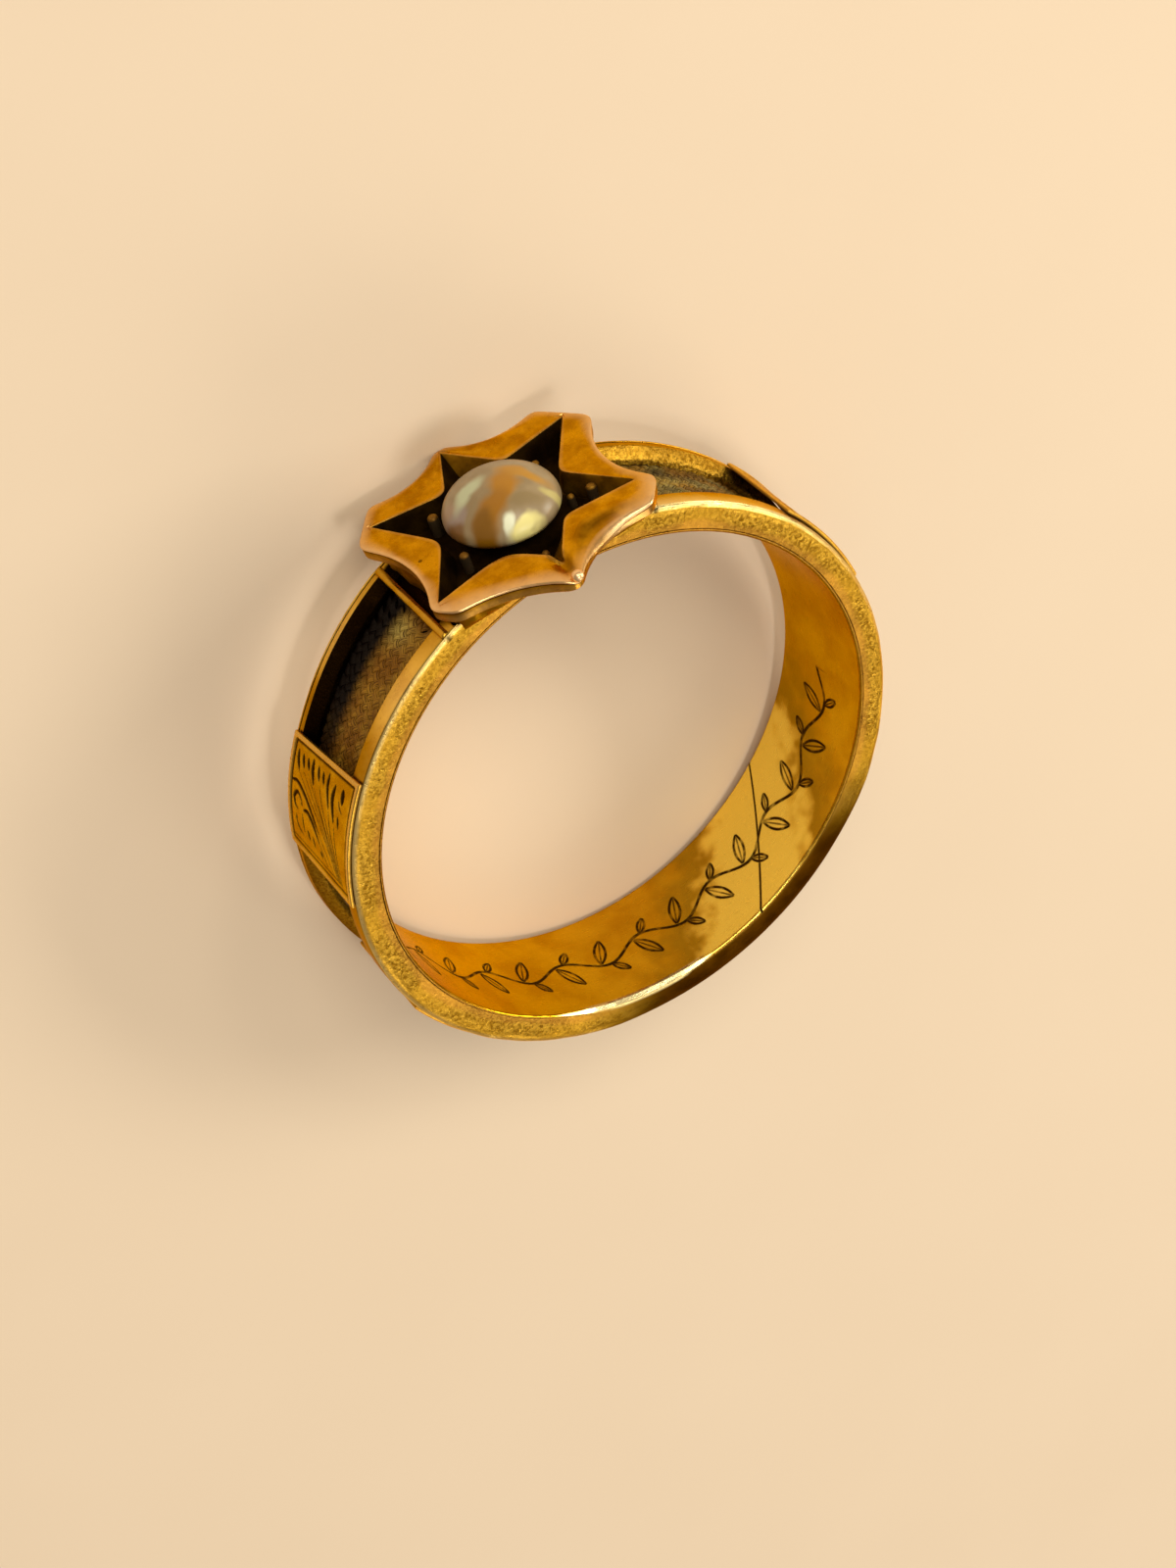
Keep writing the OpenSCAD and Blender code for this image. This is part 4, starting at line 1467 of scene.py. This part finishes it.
def smooth_path(points, count=26):
    """A rounded line through a few points."""
    points = np.array(points, float)
    padded = np.vstack([2 * points[0] - points[1], points, 2 * points[-1] - points[-2]])
    t = np.linspace(0, 1, count, endpoint=False)[:, None]
    path = []
    for k in range(1, len(padded) - 2):
        a, b, c, d = padded[k - 1 : k + 3]
        square, cube = (2 * a - 5 * b + 4 * c - d) * t**2, (3 * b - a - 3 * c + d) * t**3
        path.append(0.5 * (2 * b + (c - a) * t + square + cube))
    return np.vstack(path + [points[-1:]])


# %% One engraved plaque
CUTS_LONG, CUTS_WIDE = 136, 146
CUT_DEPTH = 0.075
BORDER = 0.035  # height of the raised border
LINE_LENGTH = 3  # a stroke of three points that is longer than this is a plain line
start_clean()
bpy.ops.mesh.primitive_grid_add(x_subdivisions=CUTS_LONG, y_subdivisions=CUTS_WIDE, size=1)
plaque = bpy.context.object
flat = points_of(plaque) * MM
along_hoop = (flat[:, 0] + 0.5) * PLAQUE_L
across_band = flat[:, 1] * 2 * HALF_W  # drawn at the band's width, and fitted to the plate's below
engraved = np.zeros(len(flat))
for points, width, force in STROKES:
    path = smooth_path(points)
    share = np.linspace(0, 1, len(path))
    swell = width * (0.35 + 0.65 * np.sin(math.pi * np.clip(share, 0.02, 0.98)) ** 0.7)
    if len(points) == 3 and abs(points[0][0] - points[2][0]) + abs(points[0][1] - points[2][1]) > LINE_LENGTH:
        swell = np.full(len(path), width)
    for (a, w), half in zip(path, swell):
        near = np.abs(along_hoop - a) < half
        gap = np.hypot(along_hoop[near] - a, across_band[near] - w) / half
        engraved[near] = np.maximum(engraved[near], force * np.clip(1 - gap, 0, 1) ** 0.8)
from_edge = np.minimum.reduce([along_hoop, PLAQUE_L - along_hoop, HALF_W - np.abs(across_band)])
border = ramp(from_edge, 0.19, 0.14)
rounding = ramp(from_edge, 0.06, 0) ** 2
height = PLAQUE_T - BORDER + BORDER * border - 0.04 * rounding - CUT_DEPTH * engraved
print("deepest cut:", round(float(CUT_DEPTH * engraved.max()), 3), "mm")

# %% Bend it round the hoop
mark(plaque, engraved * 2.2)
mark(plaque, border * (1 - 0.7 * rounding), "rubbed_and_highlight")
turns = along_hoop / (PLAQUE_IN + PLAQUE_T)
place_points(plaque, round_hoop(PLAQUE_IN + height, turns, across_band * PLAQUE_HALF_W / HALF_W))
with editing(plaque):
    bpy.ops.mesh.normals_make_consistent(inside=False)
    bpy.ops.mesh.select_all(action="DESELECT")
    bpy.ops.mesh.select_non_manifold()
    bpy.ops.mesh.extrude_edges_move(TRANSFORM_OT_translate={"value": (0, 0, 0)})
# the new ring of points is the plate's lower edge, on the rails
at = points_of(plaque)
edge_ring = np.array([v.select for v in plaque.data.vertices])
depth_of = np.empty(len(at), np.float32)
plaque.data.attributes["hollow"].data.foreach_get("value", depth_of)
mark(plaque, np.where(edge_ring, 0.8, depth_of))
at[edge_ring, :2] *= (PLAQUE_IN / np.hypot(at[edge_ring, 0], at[edge_ring, 1]))[:, None]
place_points(plaque, at)
close_openings(plaque)
smooth_shade(plaque, 40)

# %% Copies round the hoop
# far edge and near edge across the band, and how far the upper edge's far and near ends are
# drawn round the hoop
PLAQUES = [
    (-1.9, 2.13, 0.14, -0.26),
    (-2.0, 1.8, 0.0, 0.0),
    (-2.0, 1.8, 0.0, 0.0),
    (-2.0, 1.8, 0.0, 0.0),
    (-1.7, 1.7, 0.0, 0.0),
]
window = (2 * math.pi - 2 * BAR_ANGLE - len(PLAQUES) * PLAQUE_ANGLE) / (len(PLAQUES) + 1)
model = plaque
for k, (far_edge, near_edge, far_shift, near_shift) in enumerate(PLAQUES):
    make_active(model)
    bpy.ops.object.duplicate()
    copy = bpy.context.object
    at = points_of(copy)
    share_across = (at[:, 2] + PLAQUE_HALF_W) / (2 * PLAQUE_HALF_W)
    turns = np.arctan2(at[:, 0], -at[:, 1])
    pull = (far_shift + (near_shift - far_shift) * share_across) / PLAQUE_IN
    start = BAR_ANGLE + window + k * (PLAQUE_ANGLE + window)
    trimmed = far_edge + (near_edge - far_edge) * share_across
    out = np.hypot(at[:, 0], at[:, 1])
    place_points(copy, round_hoop(out, start + turns + pull * (1 - turns / PLAQUE_ANGLE), trimmed))
    lay_down(copy, f"plaque_{k + 1}", engraved_gold)
bpy.data.objects.remove(model)

# %% [markdown]
# ## A plain studio
# A pale floor under the ring, a soft warm sky and five soft lamps: a large one behind for the side
# face, one in front, one at the side for the rolled petal and the rails' inner walls, a small one
# for the lip of the bore, and one overhead. Gold shows what is round it, so the lamps are large
# and the sky has a slow change from dark to light.

# %% Floor
start_clean()
bpy.ops.mesh.primitive_plane_add(size=3, location=(0, 0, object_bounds()[0].z))
floor = bpy.context.object
floor.name = "pale_floor"
pale_floor, m = new_material("pale_floor")
grain = m.speckle(m.add("TexCoord")["Object"], 90, 2)
m.shade({"Base Color": m.mix(grain, (0.72, 0.58, 0.43, 1), (0.75, 0.61, 0.46, 1)), "Roughness": 0.75})
floor.data.materials.append(pale_floor)

# %% Lamps and sky
CENTRE = Vector((0, 0, 1 * MM))


def lamp(name, at, size, power, colour=(1, 1, 1), wide=None):
    start_clean()
    bpy.ops.object.light_add(type="AREA", location=[v * MM for v in at])
    light = bpy.context.object
    light.name = name
    light.data.shape = "RECTANGLE"
    light.data.size = (wide or size) * MM
    light.data.size_y = size * MM
    light.data.energy = power
    light.data.color = colour
    light.rotation_mode = "QUATERNION"
    light.rotation_quaternion = (light.location - CENTRE).to_track_quat("Z", "Y")
    return light


lamp("back_softbox", (-58, 195, 168), 115, 0.13, (1.0, 0.92, 0.74))
lamp("front_key", (8, -178, 178), 105, 0.20, (1.0, 0.92, 0.76))
lamp("side_fill", (-215, 0, 125), 66, 0.34, (1.0, 0.95, 0.82), wide=150)
lamp("lip_light", (-112, -150, 155), 46, 0.05, (1.0, 0.95, 0.82))
lamp("overhead", (10, 10, 300), 60, 0.22, (1.0, 0.96, 0.90))
world = bpy.data.worlds.new("studio_sky")
bpy.context.scene.world = world
world.use_nodes = True
world.node_tree.nodes.clear()
w = Sheet(world.node_tree)
sky_at = w.add("SeparateXYZ", {0: w.add("TexCoord")["Generated"]})
sky = w.mix(w.ramp(sky_at[2], -0.2, 0.9), (0.46, 0.37, 0.27, 1), (0.72, 0.64, 0.53, 1))
w.add("OutputWorld", {"Surface": w.add("Background", {"Color": sky, "Strength": 0.52})[0]})

# %% Colours as the lamps give them
bpy.context.scene.view_settings.view_transform = "Standard"
